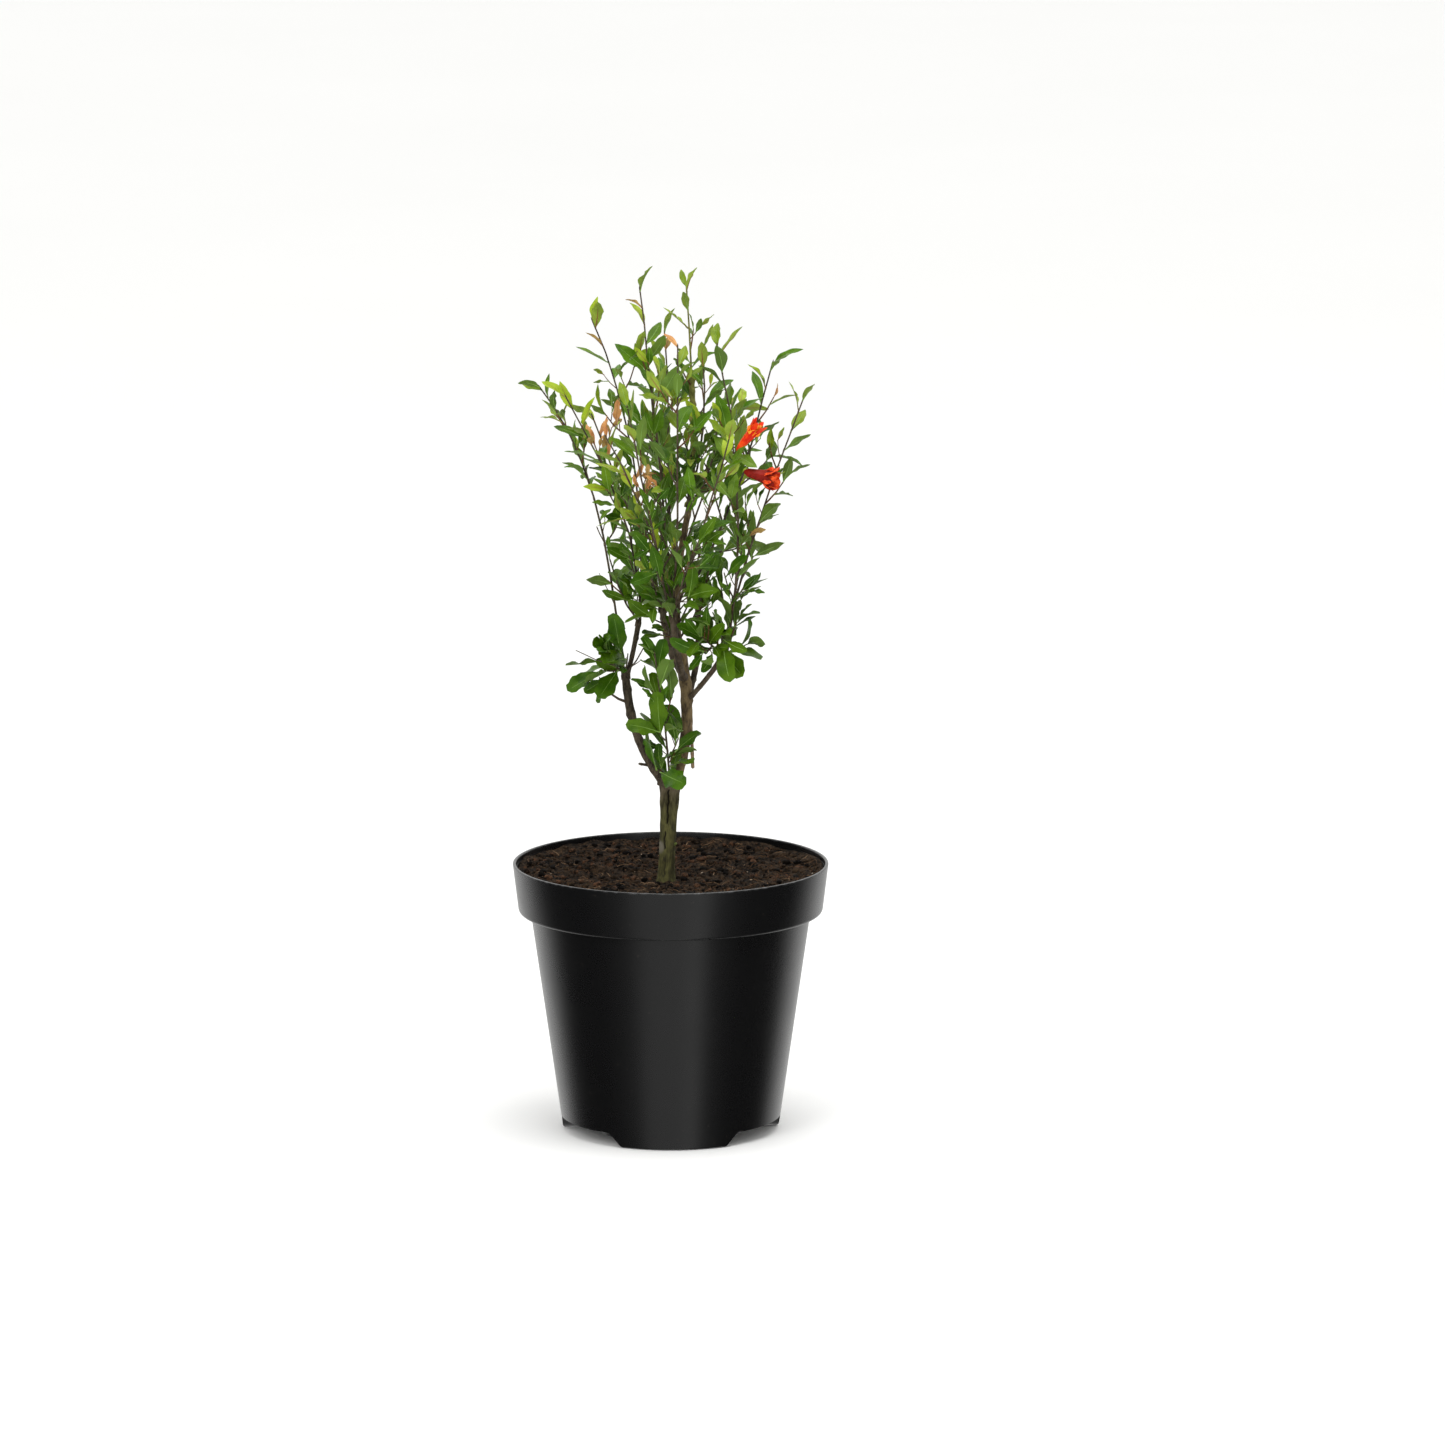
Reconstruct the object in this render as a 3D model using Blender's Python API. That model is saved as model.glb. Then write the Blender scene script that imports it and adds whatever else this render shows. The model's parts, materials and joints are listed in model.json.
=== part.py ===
"""Young pomegranate tree in its nursery pot: pot, soil, trunk, boughs and masses of foliage.

Metres, +Z up, +X to the right and +Y to the back of the usual view. The origin is the centre of the pot's
flat underside.
"""
from collections import namedtuple
from math import asin, atan2, cos, exp, pi, radians, sin, tau
from random import Random

import bmesh
import bpy
import numpy as np
from mathutils import Vector
from mathutils.bvhtree import BVHTree

# The gap between a solid and its neighbour
CLEAR = 0.0003

# Pot, by its radii and heights
POT_HEIGHT = 0.206
POT_FOOT_RADIUS = 0.0821
POT_NECK_RADIUS = 0.1064
POT_RIM_RADIUS = 0.120
COLLAR_RADIUS = 0.1155
COLLAR_HEIGHT = 0.038
COLLAR_STEP = 0.002
CORNER = 0.0025
WALL = 0.002
LIP = 0.0025
POT_SECTORS = 40

# Arched drainage notches round the foot of the pot
NOTCHES = 3
NOTCH_TURN = radians(-148)
NOTCH_HALF_WIDTH = radians(33)
NOTCH_SHOULDER = radians(10)
NOTCH_HEIGHT = 0.011
NOTCH_DEPTH = 0.026
SHOULDER_STEPS = 4
ROOF_STEPS = 6
DRAIN_RADIUS = 0.0045
DRAIN_INSET = 0.013
DRAIN_SECTORS = 12

# Soil
SOIL_TOP = 0.1977
SOIL_RELIEF = 0.0016
SOIL_WAVES = (110, 140, 90)
SOIL_PHASE = 1.3
SOIL_RINGS = 4
SOIL_LEVEL_RADIUS = 0.014
SOIL_BANK = 0.0045
SOIL_BANK_WIDTH = 0.030
SOIL_NOTCH_GAP = 0.0009

# Trunk: two grown-together stems, from a flat cut at the soil to the fork
TRUNK_FOOT = (-0.0034, -0.031)
TRUNK_FORK = (0.0, -0.025, 0.274)
TRUNK_RADII = (0.0060, 0.0061, 0.0060, 0.0063, 0.0072, 0.0083)
TRUNK_FLARE = 0.0016
TRUNK_FLARE_HEIGHT = 0.006
TRUNK_DEPTH_SHARE = 0.80
TRUNK_GROOVE = 0.13
TRUNK_GROOVE_WIDTH = radians(22)
TRUNK_SIDES = 16
TRUNK_RINGS = 9

LIMB_SIDES = 8
LIMB_RINGS = 8
LIMB_FIRST_SHARE = 0.2

# Stems, and the twigs on them, which grow at every other place below TWIG_TOP_SHARE
STEM_SIDES = 3
STEM_PIECE = 0.028
STEM_PIECES_LEAST = 4
STEM_TIP_RADIUS = 0.00055
STEM_KINK = 0.0007
TWIG_RADIUS = 0.00075
TWIG_TIP_RADIUS = 0.00045
TWIG_FOOT_SHARE = 0.4
TWIG_PIECES = 2
TWIG_TOP_SHARE = 0.8
TWIG_LENGTHS = (0.75, 1.1)
TWIG_SHRINK = 0.5
TWIG_LEAN = (0.6, 0.95)
TWIG_STRAY = 0.5
TWIG_RISE = 0.18
TWIG_BOW = 0.06

# The next two tables are in millimetres
MM = 0.001

# A limb grows from a seat on its parent: a share of the parent's length, or 1 for its end, where aside is the
# seat's place to the right and to the back of the middle. bow is how far the limb's middle swings out of the
# straight line.
Limb = namedtuple("Limb", "name parent seat aside tip bow foot_radius tip_radius")
LIMBS = (
    Limb("bough_left", "trunk", 1, (-4.3, 0), (-34, -19, 354), (-5, -1, -8), 3.4, 3.1),
    Limb("bough_leader", "trunk", 1, (4.1, 0), (5, -18, 380), (8, 0, -2), 4.0, 4.6),
    Limb("bough_left_inner", "bough_left", 1, (1.4, 0.2), (-24, -6, 392), (0, 0, -3), 1.7, 2.0),
    Limb("bough_leader_upper", "bough_leader", 1, (0.9, 1.9), (15, -6, 483), (-4, 0, 0), 2.6, 2.3),
    Limb("bough_right", "bough_leader", 0.62, (0, 0), (40, -38, 373), (1, -2, 0), 1.7, 2.1),
    Limb("bough_cross", "bough_leader", 0.64, (0, 0), (18, 14, 419), (5, 6, -4), 2.3, 2.1),
    Limb("bough_back", "bough_leader", 0.80, (0, 0), (-6, 27, 397), (-2, 3, -6), 2.6, 2.6),
    Limb("bough_front", "bough_leader", 0.76, (0, 0), (2, -47, 403), (0, -4, -6), 2.5, 2.5),
)

# A mass grows on one stem from the end of its carrier. girth is the stem's radius at its foot, bare the share
# of it below the first leaves, nodes its pairs of leaves, leaf the length of its lowest leaves, slim their
# width over their length, and twig the length of its longest twigs.
Mass = namedtuple("Mass", "name carrier tip bow girth bare nodes leaf slim twig")
MASSES = (
    Mass("foliage_low_centre", "trunk", (-12, -56, 380), (2, -5, -6), 1.0, 0.08, 14, 48, 0.42, 22),
    Mass("foliage_low_left", "bough_left", (-48, -48, 380), (-1, -2, -2), 0.9, 0.08, 13, 52, 0.42, 26),
    Mass("foliage_left_outer", "bough_left", (-100, 14, 571), (10, 4, 24), 1.0, 0.42, 11, 31, 0.34, 34),
    Mass("foliage_left_mid", "bough_left_inner", (-79, -52, 574), (16, -2, -7), 0.9, 0.18, 13, 36, 0.36, 42),
    Mass("foliage_left_upper", "bough_left_inner", (-60, 30, 620), (14, -1, 6), 0.9, 0.12, 15, 35, 0.36, 42),
    Mass("foliage_mid_left", "bough_left_inner", (-46, -26, 446), (-1, -1, -4), 0.9, 0.08, 7, 36, 0.40, 22),
    Mass("foliage_centre_left", "bough_leader", (-23, -24, 652), (2, -9, -4), 1.2, 0.12, 19, 36, 0.36, 40),
    Mass("foliage_front_young", "bough_leader", (-49, -72, 547), (10, -3, -4), 1.0, 0.18, 13, 36, 0.36, 38),
    Mass("foliage_centre", "bough_leader", (-16, -58, 442), (1, -3, -3), 0.9, 0.08, 8, 38, 0.40, 26),
    Mass("foliage_mid_centre", "bough_leader", (30, -50, 444), (2, -3, -3), 0.9, 0.08, 7, 37, 0.40, 26),
    Mass("foliage_leader", "bough_leader_upper", (12, -2, 651), (4, 0, -12), 1.3, 0.04, 14, 31, 0.33, 34),
    Mass("foliage_cut_back", "bough_leader_upper", (24, -18, 605), (6, -6, -2), 1.0, 0.16, 9, 31, 0.34, 30),
    Mass("foliage_right_mid", "bough_leader_upper", (36, -40, 552), (4, -2, -6), 0.9, 0.12, 8, 35, 0.38, 30),
    Mass("foliage_right_inner", "bough_right", (35, -42, 612), (12, -6, 0), 1.1, 0.14, 16, 36, 0.38, 36),
    Mass("foliage_right_outer", "bough_right", (101, -4, 565), (-6, 1, -7), 1.0, 0.10, 14, 34, 0.35, 38),
    Mass("foliage_low_right", "bough_right", (22, -72, 394), (0, -4, 1), 0.9, 0.05, 12, 48, 0.38, 26),
    Mass("foliage_mid_right", "bough_right", (54, -26, 452), (1, -1, -3), 0.9, 0.16, 7, 32, 0.38, 20),
    Mass("foliage_right_tip", "bough_cross", (78, 34, 587), (3, 13, -9), 1.1, 0.12, 14, 36, 0.34, 44),
    Mass("foliage_cross", "bough_cross", (-16, 48, 574), (-3, 4, -22), 1.1, 0.10, 11, 36, 0.38, 40),
    Mass("foliage_back_left", "bough_back", (-61, 88, 538), (2, 5, -1), 1.0, 0.14, 11, 36, 0.36, 40),
    Mass("foliage_back_centre", "bough_back", (-5, 92, 602), (4, 11, -6), 1.1, 0.18, 13, 35, 0.36, 40),
    Mass("foliage_back_right", "bough_back", (54, 90, 546), (-2, 4, 3), 1.0, 0.14, 11, 36, 0.36, 40),
    Mass("foliage_back_low", "bough_back", (-25, 84, 452), (0, 3, -4), 0.9, 0.10, 6, 38, 0.40, 26),
    Mass("foliage_mid_back", "bough_back", (26, 72, 440), (2, 3, -4), 0.9, 0.10, 6, 37, 0.40, 26),
    Mass("foliage_front_left", "bough_front", (-32, -94, 573), (0, -6, 0), 1.0, 0.12, 12, 35, 0.36, 36),
    Mass("foliage_front_centre", "bough_front", (6, -82, 617), (2, -8, 1), 1.0, 0.16, 14, 34, 0.36, 34),
    Mass("foliage_front_right", "bough_front", (45, -98, 550), (-1, -8, -4), 1.0, 0.16, 11, 35, 0.38, 36),
    Mass("foliage_front_low", "bough_front", (22, -94, 470), (-2, -3, 0), 0.9, 0.10, 7, 36, 0.40, 24),
)

# Pairs of leaves along a stem, closer towards its tip, each turned a quarter from the one below, with a tuft
# at the tip
NODE_CLOSING = 0.75
NODE_STRAY = 0.3
NODE_STEPS = (0.88, 1.12)
NODE_TOP_SHARE = 0.975
TUFT_PLACE = 0.985
TUFT_TURNS = (0, 2.2, 4.2)

# Pairs of leaves along a twig, and one at its tip
TWIG_LEAF_STEP = 0.0150
TWIG_FIRST_PAIR = 0.9
TWIG_LAST_PAIR = 0.3
TWIG_TIP_PLACE = 0.97
TWIG_AGE = 0.2
TWIG_TIP_AGE = 0.3

# Leaves: how far each leans out of its twig and strays from its place, its size, and its bend and fold
LEAF_LEAN = (0.60, 1.20)
LEAF_TIP_LEAN = 0.30
LEAF_STRAY = 0.3
LEAF_ROLL = 0.6
LEAF_RISE = (-0.25, 0.20)
LEAF_LENGTHS = (0.85, 1.15)
LEAF_WIDTHS = (0.98, 1.22)
LEAF_SHRINK = 0.38
LEAF_NARROWING = 0.12
LEAF_WIDEST = 0.60
LEAF_BENDS = (-0.02, 0.07)
LEAF_FOLDS = (0.1, 0.5)
LEAF_THICKNESS = 0.030
LEAF_SINK = 0.3

# A leaf or twig that finds no room tries again: leaning less, straying more, and smaller
TRIES = 10
TRY_LEAN = 0.93
TRY_STRAY = 0.4
TRY_LEAF = 0.955
TRY_TWIG = 0.92

# Spaces: how far a mass may reach into the next one's, its gap from a limb, and the step between the points
# that both are measured from
SPACE_SHARED = 0.006
LIMB_MARGIN = 0.0010
SITE_STEP = 0.008
SEED = 11

# Two blossoms on spurs of one stem: the spur's height on the stem, the blossom's foot, axis, length and mouth
Blossom = namedtuple("Blossom", "height foot axis length mouth")
BLOSSOM_MASS = "foliage_right_inner"
BLOSSOMS = (
    Blossom(0.516, (0.0500, -0.0530, 0.5310), (0.62, -0.14, 0.77), 0.029, 0.0068),
    Blossom(0.500, (0.0556, -0.0560, 0.5160), (0.95, -0.20, -0.22), 0.026, 0.0096),
)
BLOSSOM_LOBES = 6
BLOSSOM_RINGS = ((0.0, 0.12), (0.18, 0.36), (0.50, 0.46), (0.78, 0.66))
BLOSSOM_THROAT = 0.62
SPUR_RADIUS = 0.0008
SPUR_BEND = 0.6
SPUR_SINK = 0.2
SPUR_STEPS = 200

COLOURS = {
    "pot": ((0.012, 0.012, 0.013), 0.36),
    "soil": ((0.030, 0.017, 0.010), 0.95),
    "bark": ((0.120, 0.090, 0.055), 0.85),
    "leaf": ((0.075, 0.210, 0.030), 0.45),
}


def finish(name, mesh, colour, sharp=radians(40)):
    """Name a mesh's object, give it a material of its own and smooth its round faces."""
    piece = bpy.data.objects.new(name, mesh)
    bpy.context.scene.collection.objects.link(piece)
    material = bpy.data.materials.new(name)
    material.use_nodes = True
    shader = material.node_tree.nodes["Principled BSDF"]
    base, roughness = COLOURS[colour]
    shader.inputs["Base Color"].default_value = (*base, 1)
    shader.inputs["Roughness"].default_value = roughness
    mesh.materials.clear()
    mesh.materials.append(material)
    mesh.shade_smooth()
    mesh.set_sharp_from_angle(angle=sharp)
    return piece


def closed_mesh(name, points, faces):
    """A closed mesh from points and faces, with every face pointing out."""
    mesh = bpy.data.meshes.new(name)
    mesh.from_pydata(points, [], faces)
    shell = bmesh.new()
    shell.from_mesh(mesh)
    bmesh.ops.recalc_face_normals(shell, faces=shell.faces)
    shell.to_mesh(mesh)
    shell.free()
    return mesh


def turned(name, profile, height_at=None):
    """A solid turned round Z from a profile of radii and heights that starts and ends on the axis."""
    points = [(0, 0, profile[0][1])]
    faces = []
    for radius, height in profile[1:-1]:
        for sector in range(POT_SECTORS):
            turn = tau * sector / POT_SECTORS
            x, y = radius * cos(turn), radius * sin(turn)
            points.append((x, y, height_at(x, y, height) if height_at else height))
    points.append((0, 0, profile[-1][1]))
    last = len(points) - 1
    rings = len(profile) - 2
    for sector in range(POT_SECTORS):
        here, beside = 1 + sector, 1 + (sector + 1) % POT_SECTORS
        faces.append((0, beside, here))
        for ring in range(rings - 1):
            low, high = ring * POT_SECTORS, (ring + 1) * POT_SECTORS
            faces.append((here + low, beside + low, beside + high, here + high))
        top = (rings - 1) * POT_SECTORS
        faces.append((here + top, beside + top, last))
    return closed_mesh(name, points, faces)


def joined(name, base, others, operation, solver="EXACT"):
    """One mesh from a base and others, by a Boolean on a collection that is then removed."""
    body = bpy.data.objects.new(name, base)
    bpy.context.scene.collection.objects.link(body)
    group = bpy.data.collections.new(name + "_pieces")
    bpy.context.scene.collection.children.link(group)
    for mesh in others:
        group.objects.link(bpy.data.objects.new(name + "_piece", mesh))
    boolean = body.modifiers.new("join", "BOOLEAN")
    boolean.operation = operation
    boolean.solver = solver
    boolean.operand_type = "COLLECTION"
    boolean.collection = group
    view = bpy.context.evaluated_depsgraph_get()
    result = bpy.data.meshes.new_from_object(body.evaluated_get(view))
    for piece in list(group.objects):
        bpy.data.objects.remove(piece)
    bpy.data.collections.remove(group)
    bpy.data.objects.remove(body)
    return result


def notch(name, turn, grown):
    """The wedge that a drainage notch takes out of the foot of the pot, grown on all its inner sides."""
    inner = POT_FOOT_RADIUS - NOTCH_DEPTH - grown
    half = NOTCH_HALF_WIDTH + grown / POT_FOOT_RADIUS
    rising = [(NOTCH_SHOULDER * k / SHOULDER_STEPS, k / SHOULDER_STEPS) for k in range(SHOULDER_STEPS)]
    level = half - NOTCH_SHOULDER
    stations = [(step - half, rise) for step, rise in rising]
    stations += [(level * (2 * k / ROOF_STEPS - 1), 1) for k in range(ROOF_STEPS + 1)]
    stations += [(half - step, rise) for step, rise in reversed(rising)]
    points, faces = [], []
    for angle, rise in stations:
        roof = (NOTCH_HEIGHT + grown) * rise * rise * (3 - 2 * rise)
        outer = POT_NECK_RADIUS
        for radius, height in ((inner, -CORNER), (outer, -CORNER), (outer, roof), (inner, roof)):
            points.append((radius * cos(turn + angle), radius * sin(turn + angle), height))
    for first in range(0, len(points) - 4, 4):
        for side in range(4):
            beside = (side + 1) % 4
            faces.append((first + side, first + beside, first + 4 + beside, first + 4 + side))
    end = len(points) - 4
    faces.append((0, 1, 2, 3))
    faces.append((end, end + 1, end + 2, end + 3))
    return closed_mesh(name, points, faces)


def notches(grown):
    return [notch("notch", NOTCH_TURN + tau * k / NOTCHES, grown) for k in range(NOTCHES)]


def drains():
    """Round holes through the roofs of the notches."""
    holes = []
    for k in range(NOTCHES):
        angle = NOTCH_TURN + tau * k / NOTCHES
        reach = POT_FOOT_RADIUS - DRAIN_INSET
        ring = []
        for height in (NOTCH_HEIGHT / 2, NOTCH_HEIGHT * 2):
            for sector in range(DRAIN_SECTORS):
                turn = tau * sector / DRAIN_SECTORS
                x = reach * cos(angle) + DRAIN_RADIUS * cos(turn)
                y = reach * sin(angle) + DRAIN_RADIUS * sin(turn)
                ring.append((x, y, height))
        sides = [(s, (s + 1) % DRAIN_SECTORS, (s + 1) % DRAIN_SECTORS + DRAIN_SECTORS, s + DRAIN_SECTORS)
                 for s in range(DRAIN_SECTORS)]
        ends = [tuple(range(DRAIN_SECTORS)), tuple(range(DRAIN_SECTORS, 2 * DRAIN_SECTORS))]
        holes.append(closed_mesh("drain", ring, sides + ends))
    return holes


def make_pot():
    """Thin-walled nursery pot with a stepped collar, an open top and a flat underside."""
    collar_foot = POT_HEIGHT - COLLAR_HEIGHT
    outside = [
        (0, 0),
        (POT_FOOT_RADIUS - CORNER, 0),
        (POT_FOOT_RADIUS, CORNER),
        (POT_NECK_RADIUS, collar_foot),
        (COLLAR_RADIUS - CORNER, collar_foot + COLLAR_STEP / 2),
        (COLLAR_RADIUS, collar_foot + CORNER),
        (POT_RIM_RADIUS, POT_HEIGHT - CORNER / 2),
        (POT_RIM_RADIUS - CORNER / 2, POT_HEIGHT),
        (0, POT_HEIGHT),
    ]
    inside = cavity(0, [(POT_RIM_RADIUS - LIP, POT_HEIGHT + CORNER), (0, POT_HEIGHT + CORNER)])
    room = joined("room", turned("inside", inside), notches(WALL), "DIFFERENCE")
    shell = joined("shell", turned("outside", outside), notches(0) + drains(), "DIFFERENCE")
    finish("pot", joined("pot", shell, [room], "DIFFERENCE"), "pot")


def cavity(shrunk, top):
    """Profile of the pot's inside, drawn in by shrunk, and closed by the points of its top."""
    step = POT_HEIGHT - COLLAR_HEIGHT + COLLAR_STEP
    return [
        (0, WALL + shrunk),
        (POT_FOOT_RADIUS - WALL - shrunk, WALL + shrunk),
        (POT_NECK_RADIUS - WALL - shrunk, step + shrunk),
        (COLLAR_RADIUS - WALL - shrunk, step + COLLAR_STEP + shrunk),
        *top,
    ]


def make_soil():
    """Soil that fills the pot to just under its rim, uneven on top and banked up against the wall."""
    low, high = POT_HEIGHT - COLLAR_HEIGHT + 2 * COLLAR_STEP, POT_HEIGHT + CORNER
    rise = (SOIL_TOP - low) / (high - low)
    edge = (COLLAR_RADIUS - WALL) * (1 - rise) + (POT_RIM_RADIUS - LIP) * rise - CLEAR
    rings = [(edge * (1 - k / SOIL_RINGS), SOIL_TOP) for k in range(SOIL_RINGS + 1)]

    def height_at(x, y, height):
        if height < SOIL_TOP:
            return height
        away = Vector((x - TRUNK_FOOT[0], y - TRUNK_FOOT[1])).length - SOIL_LEVEL_RADIUS
        share = min(1, max(0, away / SOIL_LEVEL_RADIUS))
        rise = sin(SOIL_WAVES[0] * x + SOIL_PHASE) * cos(SOIL_WAVES[1] * x + SOIL_WAVES[2] * y)
        bank = max(0, 1 - (edge - Vector((x, y)).length) / SOIL_BANK_WIDTH)
        return height + SOIL_RELIEF * share * rise + SOIL_BANK * bank * bank

    whole = turned("soil", cavity(CLEAR, rings), height_at)
    finish("soil", joined("soil", whole, notches(WALL + SOIL_NOTCH_GAP), "DIFFERENCE"), "soil")


def swung(foot, tip, bow, count):
    """Points from foot to tip on a curve whose middle swings out by bow."""
    shares = [k / (count - 1) for k in range(count)]
    return [foot.lerp(tip, t) + bow * (4 * t * (1 - t)) for t in shares]


def tube(points, radii, sides, first_axis=None):
    """Points and faces of a closed tube along points, with flat ends; first_axis squares its first end."""
    axes = []
    for k in range(len(points)):
        axes.append((points[min(k + 1, len(points) - 1)] - points[max(k - 1, 0)]).normalized())
    if first_axis:
        axes[0] = first_axis
    aside = axes[0].orthogonal().normalized()
    corners, faces = [], []
    for k, (point, axis, radius) in enumerate(zip(points, axes, radii)):
        if k:
            aside = axes[k - 1].rotation_difference(axis) @ aside
        across = axis.cross(aside)
        for side in range(sides):
            turn = tau * side / sides
            corners.append(point + (aside * cos(turn) + across * sin(turn)) * radius)
    for k in range(len(points) - 1):
        for side in range(sides):
            beside = (side + 1) % sides
            low, high = k * sides, (k + 1) * sides
            faces.append((low + side, low + beside, high + beside, high + side))
    faces.append(tuple(reversed(range(sides))))
    faces.append(tuple(range((len(points) - 1) * sides, len(points) * sides)))
    return corners, faces


def taper(first, last, count):
    return [first + (last - first) * k / (count - 1) for k in range(count)]


def make_trunk():
    """Two stems grown together, with a groove between them and a flare at the soil."""
    foot = Vector((*TRUNK_FOOT, SOIL_TOP + CLEAR))
    fork = Vector(TRUNK_FORK)
    points, faces = [], []
    for ring in range(TRUNK_RINGS):
        share = ring / (TRUNK_RINGS - 1)
        centre = foot.lerp(fork, share)
        place = share * (len(TRUNK_RADII) - 1)
        low = min(int(place), len(TRUNK_RADII) - 2)
        radius = TRUNK_RADII[low] + (TRUNK_RADII[low + 1] - TRUNK_RADII[low]) * (place - low)
        flare = TRUNK_FLARE * exp(-(centre.z - foot.z) / TRUNK_FLARE_HEIGHT)
        for side in range(TRUNK_SIDES):
            turn = tau * side / TRUNK_SIDES
            wide = TRUNK_DEPTH_SHARE + (1 - TRUNK_DEPTH_SHARE) * abs(cos(turn))
            groove = TRUNK_GROOVE * exp(-((abs(abs(turn - pi) - pi / 2)) / TRUNK_GROOVE_WIDTH) ** 2)
            reach = (radius + flare) * (wide - groove)
            points.append(centre + Vector((cos(turn), sin(turn), 0)) * reach)
    for ring in range(TRUNK_RINGS - 1):
        for side in range(TRUNK_SIDES):
            beside = (side + 1) % TRUNK_SIDES
            low, high = ring * TRUNK_SIDES, (ring + 1) * TRUNK_SIDES
            faces.append((low + side, low + beside, high + beside, high + side))
    faces.append(tuple(range(TRUNK_SIDES)))
    faces.append(tuple(range((TRUNK_RINGS - 1) * TRUNK_SIDES, TRUNK_RINGS * TRUNK_SIDES)))
    finish("trunk", closed_mesh("trunk", points, faces), "bark")
    return foot, fork


def make_limbs():
    """Each bough from its seat on its parent to its tip; gives every limb's points, radii and end axis."""
    foot, fork = make_trunk()
    trunk_radii = taper(TRUNK_RADII[0], TRUNK_RADII[-1], LIMB_RINGS)
    runs = {"trunk": (swung(foot, fork, Vector(), LIMB_RINGS), trunk_radii, Vector((0, 0, 1)))}
    for limb in LIMBS:
        points, radii, end_axis = runs[limb.parent]
        tip, bow = Vector(limb.tip) * MM, Vector(limb.bow) * MM
        if limb.seat == 1:
            right, back = level_axes(end_axis)
            start = points[-1] + end_axis * CLEAR + (right * limb.aside[0] + back * limb.aside[1]) * MM
            first_axis = end_axis
        else:
            place = limb.seat * (len(points) - 1)
            low = int(place)
            centre = points[low].lerp(points[low + 1], place - low)
            along = (points[low + 1] - points[low]).normalized()
            radius = radii[low] + (radii[low + 1] - radii[low]) * (place - low)
            bowed = centre.lerp(tip, LIMB_FIRST_SHARE) + bow
            first_axis = (bowed - centre - along * (bowed - centre).dot(along)).normalized()
            start = centre + first_axis * (radius + CLEAR)
        run = swung(start, tip, bow, LIMB_RINGS)
        girth = taper(limb.foot_radius * MM, limb.tip_radius * MM, LIMB_RINGS)
        end = (run[-1] - run[-2]).normalized()
        runs[limb.name] = (run, girth, end)
        finish(limb.name, closed_mesh(limb.name, *tube(run, girth, LIMB_SIDES, first_axis)), "bark")
    return runs


def level_axes(axis):
    """Directions to the right and to the back across a limb's end."""
    right = (Vector((1, 0, 0)) - axis * axis.x).normalized()
    return right, axis.cross(right).normalized()


def spread_out(turns, girths, reach):
    """Seats on a ring in the order of their turns, moved on where two stems would be too near."""
    order = sorted(range(len(turns)), key=lambda k: turns[k])
    rooms = [(turns[one] - turns[order[place - 1]]) % tau for place, one in enumerate(order)]
    widest = rooms.index(max(rooms))
    order = order[widest:] + order[:widest]
    seats = dict.fromkeys(order, 0.0)
    seats[order[0]] = turns[order[0]]
    for before, one in zip(order, order[1:]):
        need = 2 * asin(min(1, (girths[before] + girths[one] + 2 * CLEAR) / (2 * reach)))
        ahead = (turns[one] - seats[before]) % tau
        seats[one] = seats[before] + (ahead if need < ahead < pi else need)
    drift = sum((turns[k] - seats[k] + pi) % tau - pi for k in order) / len(order)
    return [seats[k] + drift for k in range(len(turns))]


def first_slope(end, growth):
    """How far a stem or limb leans as it starts, to the right and to the back."""
    start = (Vector(growth.tip) * MM - end) / 2 + Vector(growth.bow) * (2 * MM)
    return start.normalized().xy


def make_stems(runs):
    """The stem of each mass, from a seat of its own on its carrier's end to its tip."""
    stems = {}
    for carrier in sorted({mass.carrier for mass in MASSES}):
        points, radii, end_axis = runs[carrier]
        end = points[-1]
        right, back = level_axes(end_axis)
        shared = [mass for mass in MASSES if mass.carrier == carrier]
        girths = [mass.girth * MM for mass in shared]
        slopes = [first_slope(end, mass) for mass in shared]
        beside = [first_slope(end, limb) for limb in LIMBS if limb.parent == carrier and limb.seat == 1]
        middle = Vector((0, 0))
        if len(beside) == 1:
            middle = beside[0]
        elif len(slopes) > 1:
            middle = sum(slopes, middle) / len(slopes)
        turns = [atan2(*(slope - middle).yx) for slope in slopes]
        edge = radii[-1] * (TRUNK_DEPTH_SHARE if carrier == "trunk" else 1)
        ring = (max(girths) + CLEAR) / sin(pi / len(shared)) if len(shared) > 1 else 0
        reach = max(edge - max(girths), ring)
        turns = spread_out(turns, girths, reach)
        for mass, girth, turn in zip(shared, girths, turns):
            start = end + end_axis * CLEAR + (right * cos(turn) + back * sin(turn)) * reach
            tip, bow = Vector(mass.tip) * MM, Vector(mass.bow) * MM
            count = max(STEM_PIECES_LEAST, round((tip - start).length / STEM_PIECE) + 1)
            run = swung(start, tip, bow, count)
            run.insert(1, start + end_axis * (2 * girth))
            rng = Random(f"{SEED} {mass.name} stem")
            for k in range(3, count):
                run[k] += Vector([rng.uniform(-STEM_KINK, STEM_KINK) for _ in range(3)])
            stems[mass.name] = (run, taper(girth, STEM_TIP_RADIUS, count + 1), end_axis)
    return stems


def at(run, share):
    """Point and direction at a share of a run of points."""
    place = min(max(share, 0), 0.9999) * (len(run) - 1)
    low = int(place)
    return run[low].lerp(run[low + 1], place - low), (run[low + 1] - run[low]).normalized()


def length_of(run):
    return sum((b - a).length for a, b in zip(run, run[1:]))


Leaf = namedtuple("Leaf", "root along face length width widest bend fold")


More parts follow.
